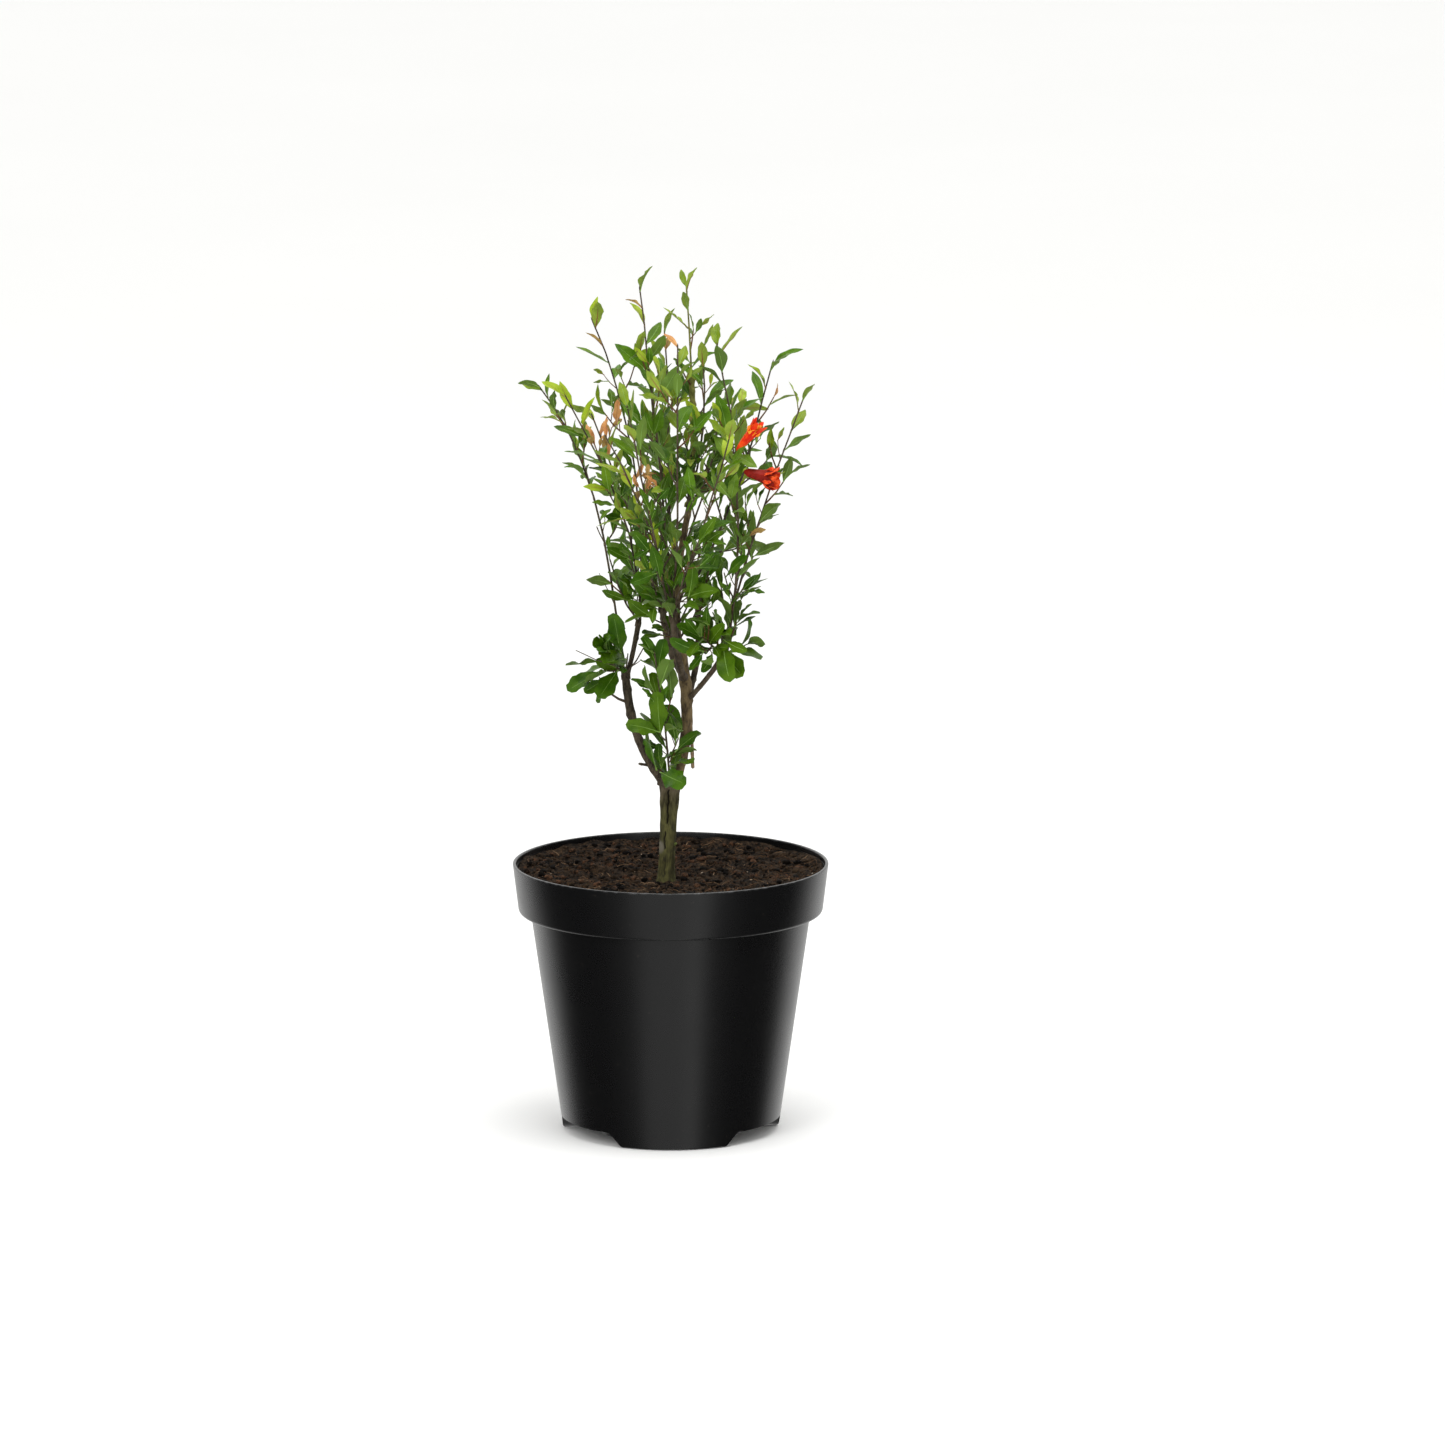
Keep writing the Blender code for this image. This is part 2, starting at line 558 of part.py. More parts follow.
def leaf_shape(leaf, grown=0.0):
    """Six points and eight faces: root, tip, two edges and the rib's two sides."""
    across = leaf.along.cross(leaf.face).normalized()
    face = across.cross(leaf.along).normalized()
    middle = leaf.root + leaf.along * (leaf.length * leaf.widest) + face * (leaf.bend * leaf.length)
    half = leaf.width / 2 + grown
    thick = leaf.length * LEAF_THICKNESS / 2 + grown
    lift = face * (leaf.fold * leaf.width / 2)
    points = [
        leaf.root,
        leaf.root + leaf.along * (leaf.length + grown),
        middle + across * half + lift,
        middle - across * half + lift,
        middle + face * thick,
        middle - face * thick,
    ]
    faces = [(0, 4, 2), (0, 3, 4), (1, 2, 4), (1, 4, 3), (0, 2, 5), (0, 5, 3), (1, 5, 2), (1, 3, 5)]
    return points, faces


class Crown:
    """Keeps each mass to its own space, nearer to its stem than to any other, and clear of the limbs."""

    def __init__(self, runs, stems):
        self.solids = []
        limbs = []
        for points, radii, _ in runs.values():
            self.add(tube(points, radii, LIMB_SIDES))
            count = max(2, int(length_of(points) / (SITE_STEP / 2)))
            for k in range(count + 1):
                share = k / count
                place, _ = at(points, share)
                limbs.append((*place, radii[0] + (radii[-1] - radii[0]) * share))
        self.limbs = np.array(limbs)
        self.names = list(stems)
        self.stem_solids = {}
        sites, owners = [], []
        for number, (name, (points, radii, first_axis)) in enumerate(stems.items()):
            self.stem_solids[name] = self.add(tube(points, radii, STEM_SIDES, first_axis))
            count = max(2, int(length_of(points) / SITE_STEP))
            for k in range(count + 1):
                sites.append(at(points, k / count)[0])
                owners.append(number)
        self.sites, self.owners = np.array(sites), np.array(owners)

    def holds(self, name, points):
        """Whether all the points lie in the space of the named mass, clear of every limb."""
        points = np.array(points)
        away = np.linalg.norm(points[:, None] - self.sites[None], axis=2)
        own = self.owners == self.names.index(name)
        if np.any(away[:, own].min(axis=1) > away[:, ~own].min(axis=1) + SPACE_SHARED):
            return False
        away = np.linalg.norm(points[:, None] - self.limbs[None, :, :3], axis=2)
        return not np.any(away < self.limbs[None, :, 3] + LIMB_MARGIN)

    def clear(self, shape, besides):
        """Whether a shape touches no leaf or twig placed before, apart from the twig that carries it."""
        tree = BVHTree.FromPolygons(*shape)
        return not any(tree.overlap(solid) for solid in self.solids if solid is not besides)

    def add(self, shape):
        """Keep a shape as one that the later ones stay clear of."""
        solid = BVHTree.FromPolygons(*shape)
        self.solids.append(solid)
        return solid


def along_and_face(axis, turn, lean, roll):
    """A leaf's direction, leaning out of its twig on the side that turn gives, and the way it faces."""
    aside = axis.orthogonal().normalized()
    across = axis.cross(aside)
    out = aside * cos(turn) + across * sin(turn)
    along = (axis * cos(lean) + out * sin(lean)).normalized()
    face = (axis - along * axis.dot(along)).normalized()
    beside = along.cross(face)
    return along, (face * cos(roll) + beside * sin(roll)).normalized()


def place_leaf(crown, mass, carrier, point, axis, radius, turn, share, leaves, rng):
    """Try to set a leaf at a point of a twig; it is skipped where it finds no room."""
    for attempt in range(TRIES):
        lean = (rng.uniform(*LEAF_LEAN) - LEAF_TIP_LEAN * share) * TRY_LEAN ** attempt
        stray = rng.uniform(-LEAF_STRAY, LEAF_STRAY) * (1 + TRY_STRAY * attempt)
        along, face = along_and_face(axis, turn + stray, lean, rng.uniform(-LEAF_ROLL, LEAF_ROLL))
        along = (along + Vector((0, 0, rng.uniform(*LEAF_RISE)))).normalized()
        length = mass.leaf * MM * (1 - LEAF_SHRINK * share) * rng.uniform(*LEAF_LENGTHS) * TRY_LEAF ** attempt
        width = length * mass.slim * rng.uniform(*LEAF_WIDTHS) * (1 - LEAF_NARROWING * share)
        root = point - along * (radius * LEAF_SINK)
        widest = LEAF_WIDEST - LEAF_NARROWING * share
        bend, fold = rng.uniform(*LEAF_BENDS), rng.uniform(*LEAF_FOLDS)
        leaf = Leaf(root, along, face, length, width, widest, bend, fold)
        shape = leaf_shape(leaf)
        inner = [leaf.root.lerp(corner, part) for corner in shape[0][1:4] for part in (0.5, 1.0)]
        if crown.holds(mass.name, inner) and crown.clear(leaf_shape(leaf, CLEAR), carrier):
            crown.add(shape)
            leaves.append(leaf)
            return


def place_twig(crown, mass, carrier, point, axis, radius, turn, share, leaves, rng):
    """Try to grow a twig with its own pairs of leaves; gives its shape, or None where it finds no room."""
    for attempt in range(TRIES):
        length = mass.twig * MM * (1 - TWIG_SHRINK * share) * rng.uniform(*TWIG_LENGTHS) * TRY_TWIG ** attempt
        stray = rng.uniform(-TWIG_STRAY, TWIG_STRAY)
        along, _ = along_and_face(axis, turn + stray, rng.uniform(*TWIG_LEAN), 0)
        tip = point + along * length + Vector((0, 0, TWIG_RISE * length))
        run = swung(point, tip, (along - axis).normalized() * (TWIG_BOW * length), TWIG_PIECES + 1)
        girths = taper(min(TWIG_RADIUS, radius), TWIG_TIP_RADIUS, len(run))
        girths[0] = radius * TWIG_FOOT_SHARE
        shape = tube(run, girths, STEM_SIDES)
        if crown.holds(mass.name, run[1:]) and crown.clear(shape, carrier):
            twig = crown.add(shape)
            spin = rng.uniform(0, tau)
            pairs = max(1, round(length / TWIG_LEAF_STEP))
            for pair in range(pairs):
                part = (pair + TWIG_FIRST_PAIR) / (pairs + TWIG_LAST_PAIR)
                place, way = at(run, part)
                age = min(1, share + TWIG_AGE * part)
                for side in (0, pi):
                    place_leaf(crown, mass, twig, place, way, TWIG_TIP_RADIUS, spin + side, age, leaves, rng)
                spin += pi / 2
            place, way = at(run, TWIG_TIP_PLACE)
            age = min(1, share + TWIG_TIP_AGE)
            place_leaf(crown, mass, twig, place, way, TWIG_TIP_RADIUS, spin, age, leaves, rng)
            return shape
    return None


def blossom_shape(blossom):
    """A waxy tube that swells to a mouth of pointed lobes round a hollow."""
    axis = Vector(blossom.axis).normalized()
    foot = Vector(blossom.foot)
    aside = axis.orthogonal().normalized()
    across = axis.cross(aside)
    lobes = BLOSSOM_LOBES
    corners, faces = [], []
    for share, spread in BLOSSOM_RINGS:
        for k in range(lobes):
            turn = tau * k / lobes
            out = aside * cos(turn) + across * sin(turn)
            corners.append(foot + axis * (share * blossom.length) + out * (spread * blossom.mouth))
    for ring in range(len(BLOSSOM_RINGS) - 1):
        for k in range(lobes):
            beside = (k + 1) % lobes
            low, high = ring * lobes, (ring + 1) * lobes
            faces.append((low + k, low + beside, high + beside, high + k))
    faces.append(tuple(range(lobes)))
    throat = len(corners)
    corners.append(foot + axis * (BLOSSOM_THROAT * blossom.length))
    last = (len(BLOSSOM_RINGS) - 1) * lobes
    for k in range(lobes):
        turn = tau * (k + 0.5) / lobes
        out = aside * cos(turn) + across * sin(turn)
        corners.append(foot + axis * blossom.length + out * blossom.mouth)
        tip, beside = len(corners) - 1, (k + 1) % lobes
        faces.append((last + k, last + beside, tip))
        faces.append((last + k, tip, throat))
        faces.append((last + beside, throat, tip))
    return corners, faces


def set_blossoms(crown, run, shapes):
    """The two blossoms and the spurs that hold them on their stem."""
    places = [at(run, k / SPUR_STEPS)[0] for k in range(SPUR_STEPS + 1)]
    for blossom in BLOSSOMS:
        start = min(places, key=lambda place: abs(place.z - blossom.height))
        foot = Vector(blossom.foot)
        inside = foot + Vector(blossom.axis).normalized() * (SPUR_SINK * blossom.length)
        way = [start, start.lerp(foot, SPUR_BEND), foot, inside]
        spur = tube(way, [SPUR_RADIUS] * len(way), STEM_SIDES)
        for shape in (spur, blossom_shape(blossom)):
            crown.add(shape)
            shapes.append(shape)


def grow(crown, mass, stem):
    """The twigs, leaves and blossoms of one mass, by a seeded rule from its stem."""
    run, radii, first_axis = stem
    rng = Random(f"{SEED} {mass.name}")
    stem_shape = tube(run, radii, STEM_SIDES, first_axis)
    carrier = crown.stem_solids[mass.name]
    shapes, leaves = [stem_shape], []
    if mass.name == BLOSSOM_MASS:
        set_blossoms(crown, run, shapes)
    length = length_of(run)
    reach = mass.bare * length
    step = (length - reach) / mass.nodes * 2 / (1 + NODE_CLOSING)
    turn = rng.uniform(0, tau)
    node = 0
    while reach < NODE_TOP_SHARE * length:
        share = reach / length
        point, axis = at(run, share)
        radius = radii[0] + (radii[-1] - radii[0]) * share
        for side in (0, pi):
            twig = None
            if (node + (side > 0)) % 2 == 0 and share < TWIG_TOP_SHARE:
                twig = place_twig(crown, mass, carrier, point, axis, radius, turn + side, share, leaves, rng)
                if twig:
                    shapes.append(twig)
            if not twig:
                place_leaf(crown, mass, carrier, point, axis, radius, turn + side, share, leaves, rng)
        turn += pi / 2 + rng.uniform(-NODE_STRAY, NODE_STRAY)
        closing = 1 - (1 - NODE_CLOSING) * (share - mass.bare) / (1 - mass.bare)
        reach += step * closing * rng.uniform(*NODE_STEPS)
        node += 1
    point, axis = at(run, TUFT_PLACE)
    for side in TUFT_TURNS:
        place_leaf(crown, mass, carrier, point, axis, STEM_TIP_RADIUS, turn + side, 1.0, leaves, rng)
    return shapes, leaves


def largest_body(mesh):
    """Drop every loose scrap of a mesh but its largest body."""
    shell = bmesh.new()
    shell.from_mesh(mesh)
    left, bodies = set(shell.verts), []
    while left:
        body, edge = set(), [left.pop()]
        while edge:
            vertex = edge.pop()
            body.add(vertex)
            for link in vertex.link_edges:
                other = link.other_vert(vertex)
                if other in left:
                    left.remove(other)
                    edge.append(other)
        bodies.append(body)
    bodies.sort(key=len)
    for body in bodies[:-1]:
        bmesh.ops.delete(shell, geom=list(body), context="VERTS")
    shell.to_mesh(mesh)
    shell.free()
    return mesh


def make_masses(runs):
    """Every mass: its stem, twigs, leaves and blossoms joined into one solid."""
    stems = make_stems(runs)
    crown = Crown(runs, stems)
    for mass in MASSES:
        shapes, leaves = grow(crown, mass, stems[mass.name])
        solids = [closed_mesh(mass.name, *shape) for shape in shapes]
        solids += [closed_mesh(mass.name, *leaf_shape(leaf)) for leaf in leaves]
        fused = joined(mass.name, solids[0], solids[1:], "UNION", "MANIFOLD")
        finish(mass.name, largest_body(fused), "leaf")


def main():
    for piece in list(bpy.data.objects):
        bpy.data.objects.remove(piece)
    make_pot()
    make_soil()
    make_masses(make_limbs())


main()
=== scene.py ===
"""Young pomegranate tree in its nursery pot: the finish of every surface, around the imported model.

Metres, +Z up, +X to the right and +Y to the back of the usual view. The origin is the centre of the pot's
flat underside.
"""
import json
from collections import namedtuple
from math import asin, atan2, cos, exp, log, pi, radians, sin, sqrt, tau
from random import Random

import bmesh
import bpy
import numpy as np
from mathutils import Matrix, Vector, noise
from mathutils.bvhtree import BVHTree

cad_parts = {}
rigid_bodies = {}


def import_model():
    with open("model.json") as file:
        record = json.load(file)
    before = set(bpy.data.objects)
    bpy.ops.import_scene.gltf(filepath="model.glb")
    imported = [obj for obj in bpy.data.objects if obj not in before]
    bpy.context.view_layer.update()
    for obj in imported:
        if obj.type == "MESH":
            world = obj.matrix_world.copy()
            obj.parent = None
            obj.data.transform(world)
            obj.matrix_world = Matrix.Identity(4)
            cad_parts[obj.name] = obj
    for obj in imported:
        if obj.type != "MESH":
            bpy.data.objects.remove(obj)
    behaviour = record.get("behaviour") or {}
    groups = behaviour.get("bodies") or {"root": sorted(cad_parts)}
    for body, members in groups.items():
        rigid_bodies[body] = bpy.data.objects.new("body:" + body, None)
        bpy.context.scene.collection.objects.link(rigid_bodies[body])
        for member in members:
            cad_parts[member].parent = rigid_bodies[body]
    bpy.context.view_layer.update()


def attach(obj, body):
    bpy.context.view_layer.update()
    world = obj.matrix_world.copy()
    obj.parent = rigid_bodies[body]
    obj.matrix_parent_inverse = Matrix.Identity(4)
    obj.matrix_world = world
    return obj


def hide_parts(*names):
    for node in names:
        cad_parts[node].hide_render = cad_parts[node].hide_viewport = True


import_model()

# Pot: a thin-walled nursery pot, moulded in one piece of black plastic. It has a stepped collar with a rounded
# lip, and arched drainage notches with round holes in their roofs round its foot.
POT_HEIGHT = 0.206
POT_FOOT_RADIUS = 0.0821
POT_NECK_RADIUS = 0.1064
POT_RIM_RADIUS = 0.120
COLLAR_RADIUS = 0.1155
COLLAR_FOOT = POT_HEIGHT - 0.038
COLLAR_STEP = 0.002
CORNER = 0.0025
NECK_FILLET = 0.0012
WALL = 0.002
LIP = 0.0025
LIP_FILLET = 0.0011
LIP_DEPTH = 0.004
LIP_LEAN = 0.0004
CLEAR = 0.0003
POT_SECTORS = 192
FILLET_STEPS = 6
NOTCHES = 3
NOTCH_TURN = radians(-148)
NOTCH_HALF_WIDTH = radians(33)
NOTCH_SHOULDER = radians(10)
NOTCH_HEIGHT = 0.011
NOTCH_DEPTH = 0.026
SHOULDER_STEPS = 14
ROOF_STEPS = 24
DRAIN_RADIUS = 0.0045
DRAIN_INSET = 0.013
DRAIN_SECTORS = 36
# Height of the lip's lighter top band: partly scuffs, partly a painted highlight along the lip
LIP_SCUFF_AND_HIGHLIGHT_BAND = 0.0015
PITTING = 0.00006
BLACK = (0.0030, 0.0030, 0.0033)
DRIED_SPLASH = (0.030, 0.024, 0.018)
# The lighter grey of the lip's top band: scuffing and a painted highlight
LIP_SCUFF_AND_PAINTED_HIGHLIGHT = (0.050, 0.050, 0.052)


class Wire:
    """An output of a material's nodes. A sum written with wires adds the Math nodes for it."""

    def __init__(self, tree, socket=None):
        self.tree, self.socket = tree, socket

    def node(self, kind, settings=(), sockets=(), output=0):
        """A node of a kind, its settings made first and then its sockets' values or links; gives an output."""
        made = self.tree.nodes.new(kind)
        for name, value in dict(settings).items():
            setattr(made, name, value)
        for name, value in dict(sockets).items():
            if isinstance(value, Wire):
                self.tree.links.new(value.socket, made.inputs[name])
            else:
                made.inputs[name].default_value = value
        return Wire(self.tree, made.outputs[output])

    def math(self, operation, *values):
        return self.node("ShaderNodeMath", {"operation": operation}, enumerate(values))

    def __add__(self, other):
        return self.math("ADD", self, other)

    def __sub__(self, other):
        return self.math("SUBTRACT", self, other)

    def __rsub__(self, other):
        return self.math("SUBTRACT", other, self)

    def __mul__(self, other):
        return self.math("MULTIPLY", self, other)

    __radd__, __rmul__ = __add__, __mul__

    def rising(self, low, high):
        """From 0 at low to 1 at high, smoothly."""
        return self.node("ShaderNodeMapRange", {"interpolation_type": "SMOOTHSTEP"},
                         {"Value": self, "From Min": low, "From Max": high})

    def grain(self, scale, detail=3.0, rough=0.55):
        """Noise over a place, from about .25 to .75, with scale lumps to the metre."""
        return self.node("ShaderNodeTexNoise", (),
                         {"Vector": self, "Scale": scale, "Detail": detail, "Roughness": rough})

    def cells(self, scale, feature="F1"):
        """Distance from the middles of cells, with scale cells to the metre."""
        return self.node("ShaderNodeTexVoronoi", {"feature": feature}, {"Vector": self, "Scale": scale})

    def stretched(self, x, y, z):
        """A place with its three directions scaled."""
        return self.node("ShaderNodeVectorMath", {"operation": "MULTIPLY"}, {0: self, 1: (x, y, z)})

    def height(self):
        return self.node("ShaderNodeSeparateXYZ", (), {0: self}, "Z")

    def away(self, point):
        """Distance of a place from a point."""
        return self.node("ShaderNodeVectorMath", {"operation": "DISTANCE"}, {0: self, 1: point}, "Value")

    def mixed(self, none, full):
        """A colour between two, by this share."""
        none, full = (colour if isinstance(colour, Wire) else (*colour, 1) for colour in (none, full))
        return self.node("ShaderNodeMix", {"data_type": "RGBA"}, {0: self, 6: none, 7: full}, 2)

    def bump(self, depth, strength=1.0):
        """The normal of a surface that this height roughens."""
        return self.node("ShaderNodeBump", (), {"Height": self, "Distance": depth, "Strength": strength})


def finish(name, surface, **constants):
    """A material from a function of the place that gives its shader's wires, and constant sockets."""
    made = bpy.data.materials.new(name)
    made.use_nodes = True
    tree = made.node_tree
    shader = tree.nodes["Principled BSDF"]
    for socket, value in constants.items():
        shader.inputs[socket.replace("_", " ")].default_value = value
    place = Wire(tree).node("ShaderNodeTexCoord", output="Object")
    for socket, wire in surface(place).items():
        tree.links.new(wire.socket, shader.inputs[socket])
    return made


def moulded_plastic(place):
    """Satin black with fine pitting and splashes of dried compost; the top band of its lip is lighter, partly
    scuffs and partly a painted highlight.
    """
    haze = place.grain(34, 5)
    pits = place.grain(1500, 2)
    # The lip's top band is painted lighter where the noise allows: partly scuffs, partly a painted highlight
    lip = place.height().rising(POT_HEIGHT - LIP_SCUFF_AND_HIGHLIGHT_BAND, POT_HEIGHT)
    scuffed_and_highlit_lip = lip * place.grain(190, 4).rising(0.42, 0.66)
    splashes = place.grain(260, 4, 0.7).rising(0.62, 0.72) * haze.rising(0.46, 0.62) * 0.5
    return {
        "Base Color": scuffed_and_highlit_lip.mixed(splashes.mixed(BLACK, DRIED_SPLASH), LIP_SCUFF_AND_PAINTED_HIGHLIGHT),
        "Roughness": 0.20 + 0.10 * haze + 0.06 * pits + 0.35 * splashes,
        "Normal": (pits + haze * 4).bump(PITTING, 0.5),
    }


def closed_mesh(name, points, faces):
    """A closed mesh from points and faces, with every face pointing out."""
    mesh = bpy.data.meshes.new(name)
    mesh.from_pydata(points, [], faces)
    shell = bmesh.new()
    shell.from_mesh(mesh)
    bmesh.ops.recalc_face_normals(shell, faces=shell.faces)
    shell.to_mesh(mesh)
    shell.free()
    return mesh


def show(name, mesh, materials, nodes, sharp=radians(38)):
    """A piece that stands for nodes, with smooth shading between its sharp edges."""
    piece = bpy.data.objects.new(name, mesh)
    bpy.context.scene.collection.objects.link(piece)
    mesh.materials.clear()
    for material in materials:
        mesh.materials.append(material)
    mesh.shade_smooth()
    mesh.set_sharp_from_angle(angle=sharp)
    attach(piece, "root")
    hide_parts(*nodes)
    return piece


def rings_of_faces(rings, sides, first=0):
    """The faces between rings of points."""
    faces = []
    for ring in range(rings - 1):
        low, high = first + ring * sides, first + (ring + 1) * sides
        for side in range(sides):
            beside = (side + 1) % sides
            faces.append((low + side, low + beside, high + beside, high + side))
    return faces


def turned(name, profile, sectors, height_at=None):
    """A solid turned round Z from a profile of radii and heights that starts and ends on the axis."""
    points = [(0, 0, profile[0][1])]
    for radius, height in profile[1:-1]:
        for sector in range(sectors):
            turn = tau * sector / sectors
            x, y = radius * cos(turn), radius * sin(turn)
            points.append((x, y, height_at(x, y, height) if height_at else height))
    points.append((0, 0, height_at(0, 0, profile[-1][1]) if height_at else profile[-1][1]))
    last, rings = len(points) - 1, len(profile) - 2
    top = 1 + (rings - 1) * sectors
    faces = rings_of_faces(rings, sectors, 1)
    for sector in range(sectors):
        beside = (sector + 1) % sectors
        faces.append((0, 1 + beside, 1 + sector))
        faces.append((top + sector, top + beside, last))
    return closed_mesh(name, points, faces)


def joined(name, base, others, operation):
    """One mesh from a base and others, by a Boolean on a collection that is then removed."""
    body = bpy.data.objects.new(name, base)
    bpy.context.scene.collection.objects.link(body)
    group = bpy.data.collections.new(name + "_pieces")
    bpy.context.scene.collection.children.link(group)
    for mesh in others:
        group.objects.link(bpy.data.objects.new(name + "_piece", mesh))
    boolean = body.modifiers.new("join", "BOOLEAN")
    boolean.operation = operation
    boolean.solver = "EXACT"
    boolean.operand_type = "COLLECTION"
    boolean.collection = group
    view = bpy.context.evaluated_depsgraph_get()
    result = bpy.data.meshes.new_from_object(body.evaluated_get(view))
    for piece in list(group.objects):
        bpy.data.objects.remove(piece)
    bpy.data.collections.remove(group)
    bpy.data.objects.remove(body)
    return result


def filleted(corners):
    """A profile whose corners are rounded by their own fillets."""
    profile = []
    for k, (radius, height, fillet) in enumerate(corners):
        here = Vector((radius, height))
        if not fillet:
            profile.append(tuple(here))
            continue
        before, after = (Vector(corners[k + step][:2]) - here for step in (-1, 1))
        start = here + before.normalized() * fillet
        end = here + after.normalized() * fillet
        for step in range(FILLET_STEPS + 1):
            t = step / FILLET_STEPS
            profile.append(tuple(start * (1 - t) ** 2 + here * (2 * t * (1 - t)) + end * t * t))
    return profile


def notch(turn, grown):
    """The wedge that a drainage notch takes out of the foot of the pot, grown on all its inner sides."""
    inner = POT_FOOT_RADIUS - NOTCH_DEPTH - grown
    half = NOTCH_HALF_WIDTH + grown / POT_FOOT_RADIUS
    rising = [(NOTCH_SHOULDER * k / SHOULDER_STEPS, k / SHOULDER_STEPS) for k in range(SHOULDER_STEPS)]
    level = half - NOTCH_SHOULDER
    stations = [(step - half, rise) for step, rise in rising]
    stations += [(level * (2 * k / ROOF_STEPS - 1), 1) for k in range(ROOF_STEPS + 1)]
    stations += [(half - step, rise) for step, rise in reversed(rising)]
    points = []
    for angle, rise in stations:
        roof = (NOTCH_HEIGHT + grown) * rise * rise * (3 - 2 * rise)
        outer = POT_NECK_RADIUS
        for radius, height in ((inner, -CORNER), (outer, -CORNER), (outer, roof), (inner, roof)):
            points.append((radius * cos(turn + angle), radius * sin(turn + angle), height))
    faces = rings_of_faces(len(stations), 4)
    end = len(points) - 4
    return closed_mesh("notch", points, faces + [(0, 1, 2, 3), (end, end + 1, end + 2, end + 3)])


def notches(grown):
    """The wedges of all the notches."""
    return [notch(NOTCH_TURN + tau * k / NOTCHES, grown) for k in range(NOTCHES)]


def drains():
    """Round holes through the roofs of the notches."""
    holes = []
    reach = POT_FOOT_RADIUS - DRAIN_INSET
    for k in range(NOTCHES):
        angle = NOTCH_TURN + tau * k / NOTCHES
        rings = []
        for height in (NOTCH_HEIGHT / 2, NOTCH_HEIGHT * 2):
            for sector in range(DRAIN_SECTORS):
                turn = tau * sector / DRAIN_SECTORS
                x = reach * cos(angle) + DRAIN_RADIUS * cos(turn)
                y = reach * sin(angle) + DRAIN_RADIUS * sin(turn)
                rings.append((x, y, height))
        ends = [tuple(range(DRAIN_SECTORS)), tuple(range(DRAIN_SECTORS, 2 * DRAIN_SECTORS))]
        holes.append(closed_mesh("drain", rings, rings_of_faces(2, DRAIN_SECTORS) + ends))
    return holes


def cavity(shrunk, top):
    """Profile of the pot's inside, drawn in by shrunk, and closed by the points of its top."""
    step = COLLAR_FOOT + COLLAR_STEP
    return [
        (0, WALL + shrunk),
        (POT_FOOT_RADIUS - WALL - shrunk, WALL + shrunk),
        (POT_NECK_RADIUS - WALL - shrunk, step + shrunk),
        (COLLAR_RADIUS - WALL - shrunk, step + COLLAR_STEP + shrunk),
        *top,
    ]


outside = filleted([
    (0, 0, 0),
    (POT_FOOT_RADIUS, 0, CORNER),
    (POT_NECK_RADIUS, COLLAR_FOOT, NECK_FILLET),
    (COLLAR_RADIUS, COLLAR_FOOT + COLLAR_STEP / 2, CORNER),
    (POT_RIM_RADIUS, POT_HEIGHT, LIP_FILLET),
    (POT_RIM_RADIUS - LIP, POT_HEIGHT, LIP_FILLET),
    (POT_RIM_RADIUS - LIP - LIP_LEAN, POT_HEIGHT - LIP_DEPTH, 0),
    (0, POT_HEIGHT - LIP_DEPTH, 0),
])
inside = cavity(0, [(POT_RIM_RADIUS - LIP, POT_HEIGHT + CORNER), (0, POT_HEIGHT + CORNER)])
room = joined("room", turned("inside", inside, POT_SECTORS), notches(WALL), "DIFFERENCE")
shell = joined("shell", turned("outside", outside, POT_SECTORS), notches(0) + drains(), "DIFFERENCE")
plastic = finish("moulded_black_plastic", moulded_plastic, IOR=1.5)
show("nursery_pot", joined("pot", shell, [room], "DIFFERENCE"), [plastic], ["pot"])

# Soil: peat compost with crumbs, fibres and a few pale grains, tipped in and firmed to just under the rim.
# Its top is uneven all over, rises a little against the trunk and is banked up against the wall. There is a dark
# hollow to the left, and a big reddish clod at the left edge.
SOIL_TOP = 0.1977
SOIL_EDGE_FADE = 0.005
SOIL_EDGE_SHARE = 0.35
SOIL_SETTLED = 0.0007
SOIL_RELIEF = 0.0016
SOIL_WAVES = (110, 140, 90)
SOIL_PHASE = 1.3
SOIL_RINGS = 92
SOIL_SECTORS = 360
SOIL_LEVEL_RADIUS = 0.014
SOIL_BANK = 0.0045
SOIL_BANK_WIDTH = 0.030
SOIL_NOTCH_GAP = 0.0009
SOIL_HOLLOW = (-0.055, 0.010)
SOIL_HOLLOW_DEPTH = 0.0075
SOIL_HOLLOW_RADIUS = 0.0080
TRUNK_FOOT = (-0.0034, -0.031)
TRUNK_BARE_RADIUS = 0.0085
TRUNK_MOUND = 0.0011
TRUNK_MOUND_RADIUS = 0.0125
PEAT_BLACK = (0.0016, 0.0010, 0.0007)
PEAT_DARK = (0.0070, 0.0042, 0.0024)
PEAT = (0.058, 0.036, 0.021)
PEAT_RUSTY = (0.115, 0.056, 0.030)
FIBRE_BROWN = (0.110, 0.058, 0.030)
FIBRE_PALE = (0.26, 0.17, 0.10)
GRAIN_WHITE = (0.62, 0.54, 0.45)

# Relief of the top, from its lumps to its fine grain: how many there are to the metre, where the noise is cut,
# and how high they stand
SOIL_GRAIN = ((95, 0.3, 0.0013), (260, 1.7, 0.0019), (800, 2.9, 0.0007))


def apart(x, y, spot):
    """How far a place is from a spot, seen from above."""
    return Vector((x - spot[0], y - spot[1])).length


